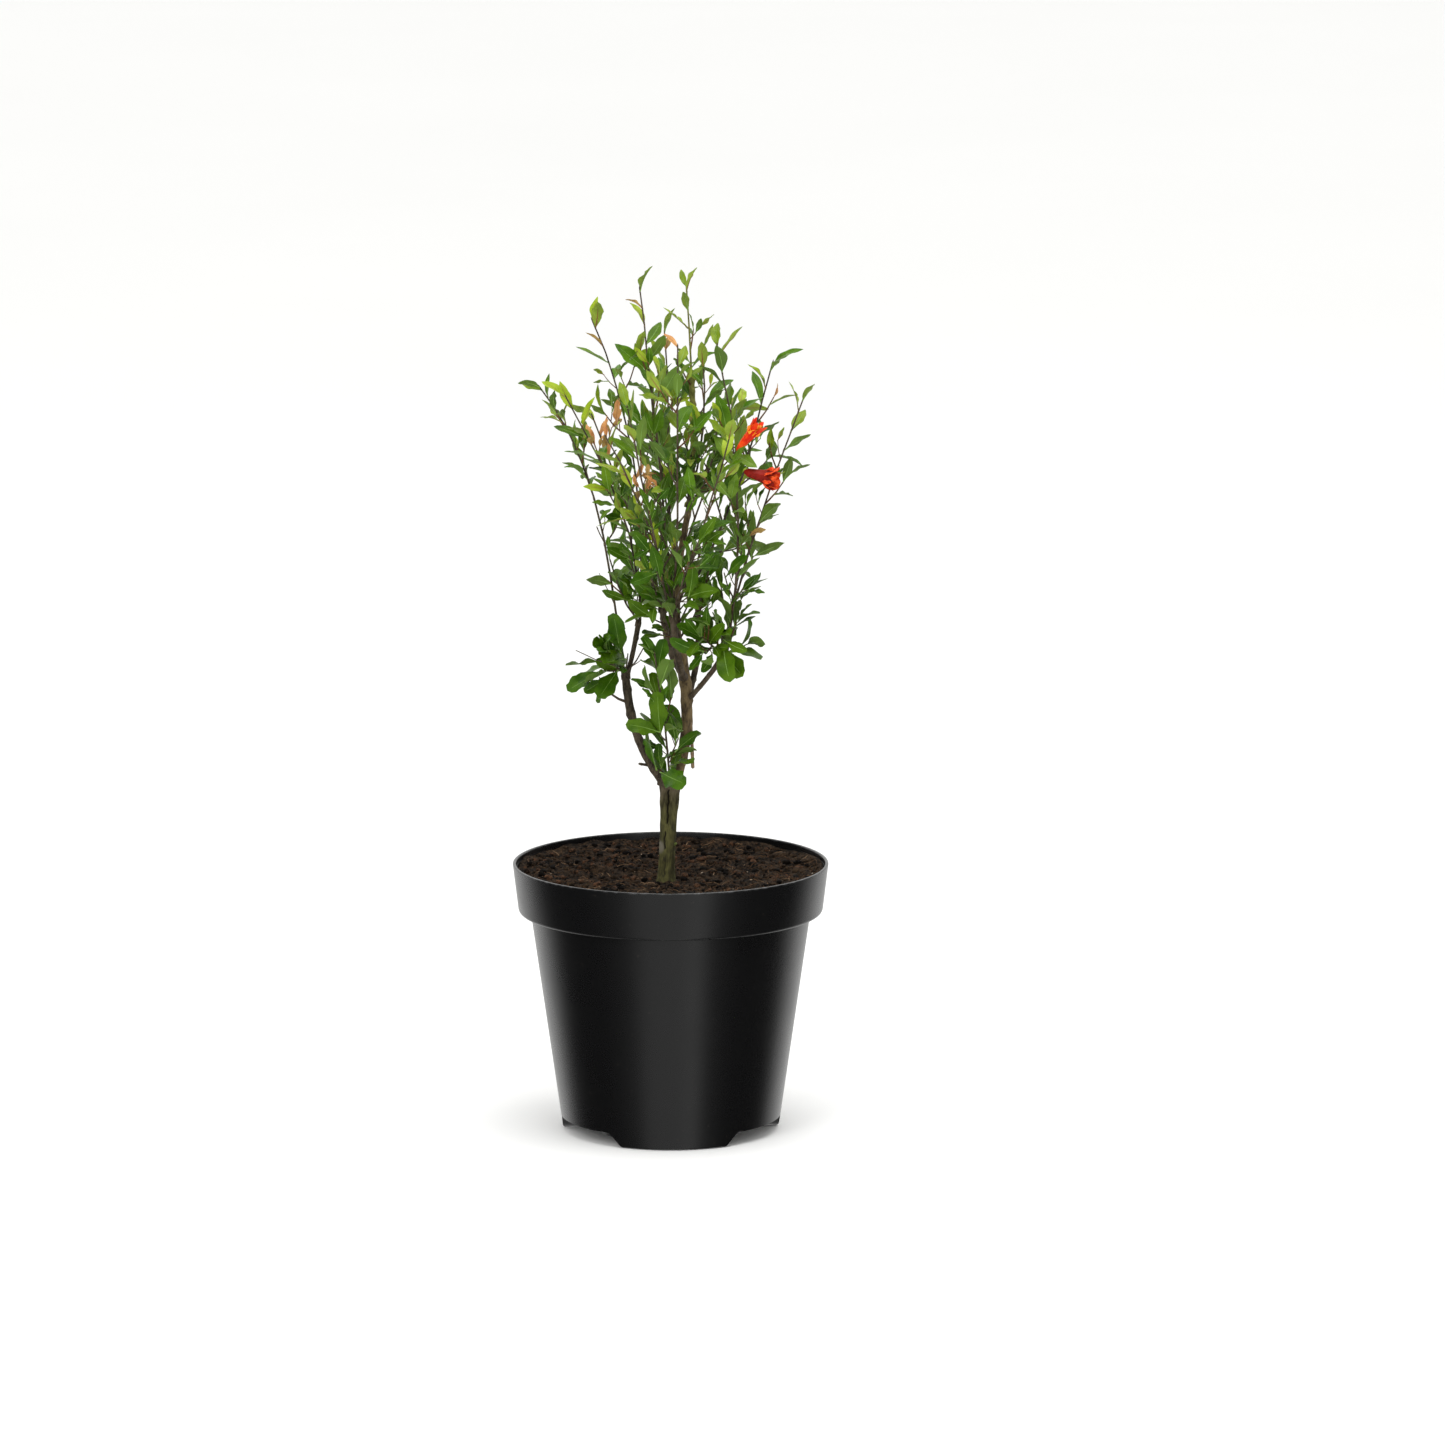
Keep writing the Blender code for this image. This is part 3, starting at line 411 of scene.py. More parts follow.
def soil_rise(x, y, edge):
    """How far the crumbly top stands over its level at a place, where the wall is at edge."""
    away = apart(x, y, TRUNK_FOOT)
    share = min(1, max(0, (away - SOIL_LEVEL_RADIUS) / SOIL_LEVEL_RADIUS))
    rise = SOIL_RELIEF * share * sin(SOIL_WAVES[0] * x + SOIL_PHASE) * cos(SOIL_WAVES[1] * x + SOIL_WAVES[2] * y)
    lumps, crumbs, fine = (high * noise.noise(Vector((x * many, y * many, cut))) for many, cut, high in SOIL_GRAIN)
    inward = edge - sqrt(x * x + y * y)
    fading = min(1, max(0, inward / SOIL_EDGE_FADE))
    bank = max(0, 1 - inward / SOIL_BANK_WIDTH)
    mound = TRUNK_MOUND * exp(-(away / TRUNK_MOUND_RADIUS) ** 2)
    hollow = apart(x, y, SOIL_HOLLOW) / SOIL_HOLLOW_RADIUS
    broad = rise + mound + SOIL_BANK * bank * bank - SOIL_HOLLOW_DEPTH * exp(-hollow ** 4)
    grain = lumps + abs(crumbs) + fine - SOIL_SETTLED
    return broad + grain * (SOIL_EDGE_SHARE + (1 - SOIL_EDGE_SHARE) * fading)


def compost(shade, light):
    """A finish for peat: dull, mottled and rough at every scale."""
    def surface(place):
        mottle = place.grain(420, 5, 0.7)
        patches = place.grain(60, 3)
        share = (mottle * 0.75 + patches * 0.35).rising(0.44, 0.70)
        return {
            "Base Color": share.mixed(shade, light),
            "Roughness": 0.80 + 0.16 * mottle,
            "Normal": (place.grain(1100, 4, 0.7) + mottle * 2).bump(0.0008),
        }
    return surface


def dull(name, shade, light):
    """A material of peat between two colours, without shine."""
    return finish(name, compost(shade, light), Specular_IOR_Level=0.12)


class Heap:
    """Many small closed things that are joined into one piece."""

    def __init__(self):
        self.points, self.faces, self.count = [], [], 0

    def add(self, points, faces):
        self.points.append(np.asarray(points, float).reshape(-1, 3))
        self.faces += [tuple(corner + self.count for corner in face) for face in faces]
        self.count += len(self.points[-1])

    def mesh(self, name):
        return closed_mesh(name, np.concatenate(self.points).tolist(), self.faces)


CLOD_SQUEEZE = ((0.6, 1.25), (0.6, 1.1), (0.5, 0.85))
CLOD_LUMPS = 1.7
CLOD_ROUGH = 0.42


def ball_template(steps):
    """Points and faces of a ball of radius 1."""
    shell = bmesh.new()
    bmesh.ops.create_icosphere(shell, subdivisions=steps, radius=1)
    points = np.array([vertex.co for vertex in shell.verts])
    faces = [tuple(vertex.index for vertex in face.verts) for face in shell.faces]
    shell.free()
    return points, faces


def clod(rng, middle, size, template):
    """An irregular lump: a ball squeezed three ways, turned and broken up by noise."""
    points, faces = template
    shift = Vector([rng.uniform(0, 50) for _ in range(3)])
    squeeze = np.array([rng.uniform(*ends) for ends in CLOD_SQUEEZE])
    turn = rng.uniform(0, tau)
    bumps = np.array([1 + CLOD_ROUGH * noise.noise(Vector(point) * CLOD_LUMPS + shift) for point in points])
    shaped = points * bumps[:, None] * squeeze * size
    turned_x = shaped[:, 0] * cos(turn) - shaped[:, 1] * sin(turn)
    turned_y = shaped[:, 0] * sin(turn) + shaped[:, 1] * cos(turn)
    return np.stack([turned_x, turned_y, shaped[:, 2]], 1) + np.array(middle), faces


def tube(points, radii, sides, first_axis=None, relief=None):
    """Points and faces of a closed tube along points; relief(ring, turn) scales its radius."""
    axes = []
    for k in range(len(points)):
        axes.append((points[min(k + 1, len(points) - 1)] - points[max(k - 1, 0)]).normalized())
    if first_axis:
        axes[0] = first_axis
    aside = axes[0].orthogonal().normalized()
    corners = []
    for k, (point, axis, radius) in enumerate(zip(points, axes, radii)):
        if k:
            aside = axes[k - 1].rotation_difference(axis) @ aside
        across = axis.cross(aside)
        for side in range(sides):
            turn = tau * side / sides
            reach = radius * relief(k, turn) if relief else radius
            corners.append(point + (aside * cos(turn) + across * sin(turn)) * reach)
    faces = rings_of_faces(len(points), sides)
    faces.append(tuple(reversed(range(sides))))
    faces.append(tuple(range((len(points) - 1) * sides, len(points) * sides)))
    return corners, faces


low, high = COLLAR_FOOT + 2 * COLLAR_STEP, POT_HEIGHT + CORNER
share = (SOIL_TOP - low) / (high - low)
soil_edge = (COLLAR_RADIUS - WALL) * (1 - share) + (POT_RIM_RADIUS - LIP) * share - CLEAR


def soil_height(x, y, height):
    """The height of a point of the soil: only its top is uneven."""
    return height + soil_rise(x, y, soil_edge) if height >= SOIL_TOP else height


def strewn(rng, edge):
    """A place anywhere on the soil inside an edge."""
    reach, turn = edge * sqrt(rng.random()), rng.uniform(0, tau)
    return reach * cos(turn), reach * sin(turn)


top = [(soil_edge * (1 - k / SOIL_RINGS), SOIL_TOP) for k in range(SOIL_RINGS + 1)]
whole = turned("soil", cavity(CLEAR, top), SOIL_SECTORS, soil_height)
cut = joined("soil", whole, notches(WALL + SOIL_NOTCH_GAP), "DIFFERENCE")
show("soil_body", cut, [dull("peat", PEAT_BLACK, PEAT)], ["soil"], radians(70))

# Crumbs of four kinds: how many, their finish, and those that lie at places of their own, with their sizes
CRUMB_LEAST = 0.0008
CRUMB_SPREAD = 0.0026
CRUMB_RARITY = 2.4
CRUMB_SEAT = (-0.1, 0.35)
GRAIN_SIZES = (0.0004, 0.0009)
ROUND_CRUMB = 0.0015
CRUMB_INSET = 0.001
CRUMBS = {
    "soil_crumbs": (900, dull("peat_crumb", PEAT_DARK, PEAT), ()),
    "soil_crumbs_rusty": (480, dull("rusty_crumb", PEAT_DARK, PEAT_RUSTY), ((-0.099, 0.026, 0.0042),)),
    "soil_crumbs_dark": (520, dull("dark_crumb", PEAT_BLACK, PEAT_DARK), ()),
    "soil_grains": (46, dull("pale_grain", FIBRE_PALE, GRAIN_WHITE), (
        (-0.0185, 0.079, 0.0013), (0.0238, -0.0066, 0.0012), (-0.0534, 0.0546, 0.0010), (0.061, -0.036, 0.0009),
        (0.018, 0.098, 0.0011))),
}
SOIL_SEED = 21
rng = Random(SOIL_SEED)
rough_ball, small_ball = ball_template(2), ball_template(1)
for name, (count, crumb_finish, placed_ones) in CRUMBS.items():
    heap = Heap()
    for x, y, size in placed_ones:
        heap.add(*clod(rng, (x, y, SOIL_TOP + soil_rise(x, y, soil_edge)), size, rough_ball))
    for _ in range(count):
        if name == "soil_grains":
            size = rng.uniform(*GRAIN_SIZES)
        else:
            size = CRUMB_LEAST + CRUMB_SPREAD * rng.random() ** CRUMB_RARITY
        x, y = strewn(rng, soil_edge - CRUMB_INSET - size)
        in_hollow = apart(x, y, SOIL_HOLLOW) < SOIL_HOLLOW_RADIUS
        if in_hollow or apart(x, y, TRUNK_FOOT) < TRUNK_BARE_RADIUS + size:
            continue
        z = SOIL_TOP + soil_rise(x, y, soil_edge) + size * rng.uniform(*CRUMB_SEAT)
        heap.add(*clod(rng, (x, y, z), size, rough_ball if size > ROUND_CRUMB else small_ball))
    show(name, heap.mesh(name), [crumb_finish], ["soil"], radians(80))

# Fibres of two kinds: how many, and their finish
FIBRE_LENGTHS = (0.004, 0.019)
FIBRE_GIRTHS = (0.00012, 0.00030)
FIBRE_BEND = 0.35
FIBRE_ARCH = 0.0009
FIBRE_PIECES = 6
FIBRE_SIDES = 4
FIBRE_INSET = 0.004
FIBRE_WALL_GAP = 0.002
FIBRE_TRUNK_GAP = 0.008
FIBRES = {
    "soil_fibres": (330, dull("peat_fibre", PEAT, FIBRE_BROWN)),
    "soil_fibres_pale": (110, dull("pale_fibre", FIBRE_BROWN, FIBRE_PALE)),
}
for name, (count, fibre_finish) in FIBRES.items():
    heap = Heap()
    for _ in range(count):
        x, y = strewn(rng, soil_edge - FIBRE_INSET)
        heading, bend = rng.uniform(0, tau), rng.uniform(-FIBRE_BEND, FIBRE_BEND)
        length, thick = rng.uniform(*FIBRE_LENGTHS), rng.uniform(*FIBRE_GIRTHS)
        step, run = length / FIBRE_PIECES, []
        for k in range(FIBRE_PIECES + 1):
            if sqrt(x * x + y * y) > soil_edge - FIBRE_WALL_GAP:
                break
            arch = FIBRE_ARCH * sin(pi * k / FIBRE_PIECES) * rng.uniform(0.2, 1)
            run.append(Vector((x, y, SOIL_TOP + soil_rise(x, y, soil_edge) + thick + arch)))
            x, y = x + cos(heading) * step, y + sin(heading) * step
            heading += bend
        if len(run) > 3 and min(apart(*point.xy, TRUNK_FOOT) for point in run) > FIBRE_TRUNK_GAP:
            girths = [thick * (0.5 + sin(pi * (k + 0.5) / len(run))) for k in range(len(run))]
            heap.add(*tube(run, girths, FIBRE_SIDES))
    show(name, heap.mesh(name), [fibre_finish], ["soil"], radians(80))

# Trunk: two stems grown together, with a groove between them whose crevices are darkened by painted shade, a
# healed swelling low on the left and a flare at the soil. The bark is thin, olive to grey-brown, and finely ridged
# lengthwise.
TRUNK_FORK = (0.0, -0.025, 0.274)
TRUNK_RADII = (0.0060, 0.0061, 0.0060, 0.0063, 0.0072, 0.0083)
TRUNK_FLARE = 0.0016
TRUNK_FLARE_HEIGHT = 0.006
TRUNK_DEPTH_SHARE = 0.80
TRUNK_GROOVE = 0.078
TRUNK_GROOVE_WIDTH = radians(22)
MM = 0.001
TRUNK_SIDES = 112
TRUNK_RINGS = 170
TRUNK_SUNK = 0.002

# The feet of the two boughs at the fork: how far right of its middle each is, and its radius. The trunk takes
# their outline near its top, and its last ring drops to a rounded edge.
FORK_SPREAD = ((-0.0043, 0.0042), (0.0041, 0.0044))
FORK_WAIST = 0.0052
FORK_START = 0.88
FORK_EDGE = 0.985
FORK_EDGE_DROP = 0.0009
FORK_DOME = 0.0012

# Crevices between the two stems: the share of the trunk's height that each runs over, its place round the trunk
# from the front to the right, its half width there and its depth as a share of the radius. Each wanders from side
# to side by some swings, at their own pace up the trunk.
CREVICES = (
    (0.555, 0.95, radians(-11), radians(8.5), 0.24),
    (0.30, 0.53, radians(-27), radians(7.5), 0.13),
    (0.03, 0.22, radians(-16), radians(8), 0.08),
    (0.10, 0.90, radians(176), radians(9), 0.20),
)
CREVICE_WANDER = ((0.05, 41), (0.03, 97))
CREVICE_FADE = 0.05
CREVICE_FULL = 0.12
# Painted shade: the near black that the bark inside the crevices is darkened to
CREVICE_PAINTED_SHADE = (0.009, 0.007, 0.004)

# The healed swelling: its middle, how high it stands, and the squares of its spread across and up in millimetres
SWELLING = (-0.0096, -0.0335, 0.2242)
SWELLING_RISE = 0.0012
SWELLING_ACROSS = 15
SWELLING_UP = 14

# Relief of the trunk's bark: how many lumps go round and up, where the noise is cut, and how high they stand
TRUNK_RELIEF = ((5.5, 75, 0, 0.00026), (15, 230, 0, 0.00013), (1.2, 110, 7, 0.00034))
BARK_SHEEN = 0.18
BARK_RIDGE = 0.00022
TRUNK_RIDGE = 0.00025
OLIVE = (0.100, 0.094, 0.030)
OLIVE_DARK = (0.022, 0.020, 0.008)
GREY_BARK = (0.150, 0.135, 0.105)
BROWN = (0.190, 0.136, 0.066)
BROWN_DARK = (0.040, 0.026, 0.015)
NEAR_BLACK = (0.014, 0.010, 0.007)
UMBER = (0.090, 0.070, 0.045)
GREY_BROWN = (0.105, 0.082, 0.055)


def barked(name, shade, light, spots, fibre=1.0, ridge=BARK_RIDGE):
    """A material of bark: lengthwise fibres, pale breathing pores and darker hollows."""
    def surface(place):
        fibres = place.stretched(1, 1, 0.16).grain(1500 * fibre, 4, 0.65)
        mottle = place.stretched(1, 1, 0.5).grain(230, 4)
        pores = 1 - place.stretched(1, 1, 1.6).cells(560).rising(0.10, 0.24)
        pores = pores * place.grain(170, 2).rising(0.50, 0.62)
        share = (fibres * 0.55 + mottle * 0.65).rising(0.42, 0.76)
        return {
            "Base Color": (pores * 0.75).mixed(share.mixed(shade, light), spots),
            "Roughness": 0.58 + 0.3 * fibres,
            "Normal": (fibres * 1.6 + mottle + pores * 0.5).bump(ridge, 0.8),
        }
    return finish(name, surface, Specular_IOR_Level=BARK_SHEEN)


def trunk_bark(place):
    """Olive bark, browner under the fork and grey on the swelling, with painted shade that darkens its crevices to
    near black.
    """
    fibres = place.stretched(1, 1, 0.14).grain(1300, 4, 0.65)
    mottle = place.stretched(1, 1, 0.4).grain(190, 4)
    share = (fibres * 0.6 + mottle * 0.7).rising(0.44, 0.84)
    olive = share.mixed(OLIVE_DARK, OLIVE)
    brown = share.mixed(BROWN_DARK, GREY_BROWN)
    upper = (place.height() + mottle * 0.03).rising(0.262, 0.292)
    grey = 1 - (place.away(SWELLING) + mottle * 0.004).rising(0.0052, 0.0085)
    crevice = place.node("ShaderNodeAttribute", {"attribute_name": "crevice"}, output="Fac")
    # Painted shade: the bark goes near black inside the crevices
    dark = (crevice + (mottle - 0.5) * 0.6).rising(0.25, 0.75) * 0.92
    return {
        "Base Color": dark.mixed((grey * 0.8).mixed(upper.mixed(olive, brown), GREY_BARK), CREVICE_PAINTED_SHADE),
        "Roughness": 0.55 + 0.3 * fibres,
        "Normal": (fibres * 1.6 + mottle).bump(TRUNK_RIDGE, 0.8),
    }


def at(run, share):
    """Point and direction at a share of a run of points."""
    place = min(max(share, 0), 0.9999) * (len(run) - 1)
    low = int(place)
    return run[low].lerp(run[low + 1], place - low), (run[low + 1] - run[low]).normalized()


def between(first, last, share):
    """The value at a share of the way from the first to the last."""
    return first + (last - first) * share


def eased(t):
    """A share that starts and ends gently."""
    t = min(1, max(0, t))
    return t * t * (3 - 2 * t)


def relief_at(turn, height, layers, start=0):
    """How far bark stands out at a turn round a limb and a height up it, from layers of noise."""
    x, y = cos(turn), sin(turn)
    return sum(high * noise.noise(Vector((x * around + start, y * around, height * up + cut)))
               for around, up, cut, high in layers)


def fork_reach(turn):
    """How far the two boughs' feet reach from the fork's middle in a direction."""
    reach = FORK_WAIST
    for middle, radius in FORK_SPREAD:
        across = middle * sin(turn)
        if abs(across) < radius:
            reach = max(reach, middle * cos(turn) + sqrt(radius * radius - across * across))
    return reach


def crevice_at(share, turn):
    """How deep the crevices are at a place on the trunk, and how far into one the place is."""
    front = (turn - 1.5 * pi + pi) % tau - pi
    depth = inside = 0
    wander = sum(swing * sin(share * pace) for swing, pace in CREVICE_WANDER)
    for low, high, place, half, deepest in CREVICES:
        off = (front - place - wander + pi) % tau - pi
        along = eased((share - low) / CREVICE_FADE) * eased((high - share) / CREVICE_FADE)
        across = exp(-(off / half) ** 2) * along
        depth = max(depth, across * deepest)
        inside = max(inside, across * min(1, deepest / CREVICE_FULL))
    return depth, inside


foot = Vector((*TRUNK_FOOT, SOIL_TOP + CLEAR))
fork = Vector(TRUNK_FORK)
points, crevices = [], []
for ring in range(TRUNK_RINGS):
    share = ring / (TRUNK_RINGS - 1)
    centre = foot.lerp(fork, share)
    if ring == 0:
        centre.z -= TRUNK_SUNK
    place = share * (len(TRUNK_RADII) - 1)
    low = min(int(place), len(TRUNK_RADII) - 2)
    radius = between(TRUNK_RADII[low], TRUNK_RADII[low + 1], eased(place - low))
    flare = TRUNK_FLARE * exp(-(centre.z - foot.z) / TRUNK_FLARE_HEIGHT)
    closing = eased((share - FORK_START) / (1 - FORK_START))
    drop = FORK_EDGE_DROP * eased((share - FORK_EDGE) / (1 - FORK_EDGE))
    for side in range(TRUNK_SIDES):
        turn = tau * side / TRUNK_SIDES
        out = Vector((cos(turn), sin(turn), 0))
        wide = between(TRUNK_DEPTH_SHARE, 1, abs(cos(turn)))
        off = abs(abs(turn - pi) - pi / 2)
        groove = TRUNK_GROOVE * exp(-(off / TRUNK_GROOVE_WIDTH) ** 2)
        depth, inside = crevice_at(share, turn)
        crevices.append(inside)
        reach = (radius + flare) * (wide - groove - depth)
        reach = between(reach, fork_reach(turn), closing) - drop
        away = (centre + out * reach - Vector(SWELLING)) / MM
        swelling = exp(-(away.x ** 2 + away.y ** 2) / SWELLING_ACROSS - away.z ** 2 / SWELLING_UP)
        reach += SWELLING_RISE * swelling + relief_at(turn, centre.z, TRUNK_RELIEF)
        points.append(centre + out * reach)
points.append(fork - Vector((0, 0, FORK_DOME)))
crevices.append(0)
faces = rings_of_faces(TRUNK_RINGS, TRUNK_SIDES) + [tuple(range(TRUNK_SIDES))]
top = (TRUNK_RINGS - 1) * TRUNK_SIDES
faces += [(top + side, top + (side + 1) % TRUNK_SIDES, len(points) - 1) for side in range(TRUNK_SIDES)]
trunk_mesh = closed_mesh("trunk", points, faces)
trunk_mesh.attributes.new("crevice", "FLOAT", "POINT").data.foreach_set("value", crevices)
trunk_finish = finish("trunk_bark", trunk_bark, Specular_IOR_Level=BARK_SHEEN)
show("bark_trunk", trunk_mesh, [trunk_finish], ["trunk"], radians(60))

# Boughs: one tapering limb each, grown out of the trunk or of one another with a collar at the foot. Old leaf
# nodes stand out as knobs, and the bark runs from nearly black on the left to brown on the leader.
LIMB_SIDES = 44
LIMB_STEP = 0.0010
LIMB_RINGS = 8
LIMB_FIRST_SHARE = 0.2
LIMB_SUNK = 0.0035
SUNK_POINTS = 3
SEAT_POINTS = 4
SMOOTH_STEP = 0.004
SMOOTH_LEAST = 20
SMOOTHINGS = 2
RINGS_LEAST = 6
TIP_LEAST = 0.02

# A limb's collar: how much it swells at its foot, as a share of its radius, and how far up that fades
COLLARS = {"bough_left": (0.70, 0.0080), "bough_leader": (0.30, 0.0040)}
USUAL_COLLAR = (0.42, 0.0035)

# Knobs of the old leaf nodes: their spacing and how it strays, how far each reaches as a share of the limb's
# radius, and how it stands out all round, on its own side and on both sides
KNOB_STEP = 0.017
KNOB_FIRST = (0.6, 1.1)
KNOB_STRAY = (0.7, 1.3)
KNOB_LAST = 0.006
KNOB_REACH = 0.55
KNOB_FADED = 3
KNOB_ROUND, KNOB_SIDE, KNOB_SIDES = 0.6, 0.5, 0.3

# Relief of the limbs' bark, given as the trunk's is, but standing out by shares of the limb's radius
LIMB_RELIEF = ((2.6, 120, 0, 0.055), (6, 330, 0, 0.035), (0.8, 90, 0, 0.08))

# A limb grows from a seat on its parent: a share of the parent's length, or 1 for its end, where aside is the
# seat's place to the right and to the back of the middle, in millimetres as all of this table.
Limb = namedtuple("Limb", "name parent seat aside tip bow foot_radius tip_radius")
LIMBS = (
    Limb("bough_left", "trunk", 1, (-4.3, 0), (-34, -19, 354), (-5, -1, -8), 3.4, 3.1),
    Limb("bough_leader", "trunk", 1, (4.1, 0), (5, -18, 380), (8, 0, -2), 4.0, 4.6),
    Limb("bough_left_inner", "bough_left", 1, (1.4, 0.2), (-24, -6, 392), (0, 0, -3), 1.7, 2.0),
    Limb("bough_leader_upper", "bough_leader", 1, (0.9, 1.9), (15, -6, 483), (-4, 0, 0), 2.6, 2.3),
    Limb("bough_right", "bough_leader", 0.62, (0, 0), (40, -38, 373), (1, -2, 0), 1.7, 2.1),
    Limb("bough_cross", "bough_leader", 0.64, (0, 0), (18, 14, 419), (5, 6, -4), 2.3, 2.1),
    Limb("bough_back", "bough_leader", 0.80, (0, 0), (-6, 27, 397), (-2, 3, -6), 2.6, 2.6),
    Limb("bough_front", "bough_leader", 0.76, (0, 0), (2, -47, 403), (0, -4, -6), 2.5, 2.5),
)
dark_bark = barked("dark_bark", NEAR_BLACK, UMBER, GREY_BARK)
brown_bark = barked("brown_bark", BROWN_DARK, BROWN, GREY_BARK)
grey_bark = barked("grey_bark", BROWN_DARK, GREY_BROWN, GREY_BARK)
LIMB_BARK = {
    "bough_left": dark_bark, "bough_leader": brown_bark, "bough_left_inner": dark_bark,
    "bough_leader_upper": brown_bark, "bough_right": grey_bark, "bough_cross": dark_bark,
    "bough_back": grey_bark, "bough_front": grey_bark,
}


def swung(foot, tip, bow, count):
    """Points from foot to tip on a curve whose middle swings out by bow."""
    shares = [k / (count - 1) for k in range(count)]
    return [foot.lerp(tip, t) + bow * (4 * t * (1 - t)) for t in shares]


def taper(first, last, count):
    """Radii from the first to the last in even steps."""
    return [first + (last - first) * k / (count - 1) for k in range(count)]


def level_axes(axis):
    """Directions to the right and to the back across a limb's end."""
    right = (Vector((1, 0, 0)) - axis * axis.x).normalized()
    return right, axis.cross(right).normalized()


def length_of(run):
    """Length of a run of points."""
    return sum((b - a).length for a, b in zip(run, run[1:]))


def rooted(start, axis):
    """The first points of a limb on another's end, which are sunk into it."""
    return [start - axis * (LIMB_SUNK * (1 - k / SUNK_POINTS)) for k in range(SUNK_POINTS)]


def grown_limb(name, run, radii, sunk, sides, step, seed, nodes=(), knob=0.20, blunt=0.9):
    """A woody tube with a collar at its foot, knobs at its nodes, lengthwise relief and a domed tip."""
    rng = Random(seed)
    length = length_of(run)
    count = max(RINGS_LEAST, round(length / step))
    points = sunk + [at(run, k / count)[0] for k in range(count + 1)]
    lead = len(sunk)
    for _ in range(SMOOTHINGS):
        eased_points = [(a + b * 2 + c) / 4 for a, b, c in zip(points, points[1:], points[2:])]
        points = [points[0]] + eased_points + [points[-1]]
    if not nodes:
        nodes, place = [], KNOB_STEP * rng.uniform(*KNOB_FIRST)
        while place < length - KNOB_LAST:
            nodes.append(place / length)
            place += KNOB_STEP * rng.uniform(*KNOB_STRAY)
    sides_of_nodes = [rng.uniform(0, tau) for _ in nodes]
    girths, start = [], rng.uniform(0, 90)
    collar, fade = COLLARS.get(name, USUAL_COLLAR)
    for k in range(len(points)):
        share = max(0, (k - lead) / count)
        girth = between(radii[0], radii[-1], share)
        if sunk:
            girth *= 1 + collar * exp(-share * length / fade)
        ending = max(0, 1 - (1 - share) * length / (girth * blunt))
        girth *= sqrt(max(TIP_LEAST, 1 - ending * ending))
        girths.append(girth)

    def relief(k, turn):
        """The share of its radius that the limb has at a ring and a turn."""
        share = max(0, (k - lead) / count)
        swell = 0
        for node, side in zip(nodes, sides_of_nodes):
            gap = abs(share - node) * length / (radii[0] * KNOB_REACH)
            if gap < KNOB_FADED:
                off = turn - side
                swell += knob * exp(-gap * gap) * (KNOB_ROUND + KNOB_SIDE * cos(off) + KNOB_SIDES * cos(2 * off))
        return 1 + swell + relief_at(turn, share * length, LIMB_RELIEF, start)

    return tube(points, girths, sides, relief=relief)


trunk_radii = taper(TRUNK_RADII[0], TRUNK_RADII[-1], LIMB_RINGS)
runs = {"trunk": (swung(foot, fork, Vector(), LIMB_RINGS), trunk_radii, Vector((0, 0, 1)))}
for limb in LIMBS:
    points, radii, end_axis = runs[limb.parent]
    tip, bow = Vector(limb.tip) * MM, Vector(limb.bow) * MM
    if limb.seat == 1:
        right, back = level_axes(end_axis)
        start = points[-1] + end_axis * CLEAR + (right * limb.aside[0] + back * limb.aside[1]) * MM
        sunk = rooted(start, end_axis)
    else:
        centre, along = at(points, limb.seat)
        place = limb.seat * (len(points) - 1)
        low = int(place)
        radius = between(radii[low], radii[low + 1], place - low)
        heading = centre.lerp(tip, LIMB_FIRST_SHARE) + bow - centre
        first_axis = (heading - along * heading.dot(along)).normalized()
        start = centre + first_axis * (radius + CLEAR)
        sunk = [centre.lerp(start, k / SEAT_POINTS) for k in range(SEAT_POINTS)]
    run = swung(start, tip, bow, LIMB_RINGS)
    girth = taper(limb.foot_radius * MM, limb.tip_radius * MM, LIMB_RINGS)
    runs[limb.name] = (run, girth, (run[-1] - run[-2]).normalized())
    smooth_run = swung(start, tip, bow, max(SMOOTH_LEAST, round(length_of(run) / SMOOTH_STEP)))
    shape = grown_limb(limb.name, smooth_run, girth, sunk, LIMB_SIDES, LIMB_STEP, limb.name)
    name = limb.name.replace("bough", "bark")
    show(name, closed_mesh(name, *shape), [LIMB_BARK[limb.name]], [limb.name], radians(60))

# Stems and twigs: each mass grows on one stem, from the end of its bough. Twigs leave it at every other leaf
# place and carry finer ones. The wood is grey-brown below, and the last year's growth is thin and red-brown.
STEM_SIDES = 3
COARSE_SIDES = 8
STEM_PIECE = 0.028
STEM_PIECES_LEAST = 4
STEM_TIP_RADIUS = 0.00055
STEM_KINK = 0.0007
STEM_FIRST_KINK = 3
TWIG_RADIUS = 0.00075
TWIG_TIP_RADIUS = 0.00045
TWIG_FOOT_SHARE = 0.4
TWIG_PIECES = 2
TWIG_TOP_SHARE = 0.8
TWIG_LENGTHS = (0.75, 1.1)
TWIG_SHRINK = 0.5
TWIG_LEAN = (0.6, 0.95)
TWIG_STRAY = 0.5
TWIG_RISE = 0.18
TWIG_BOW = 0.06

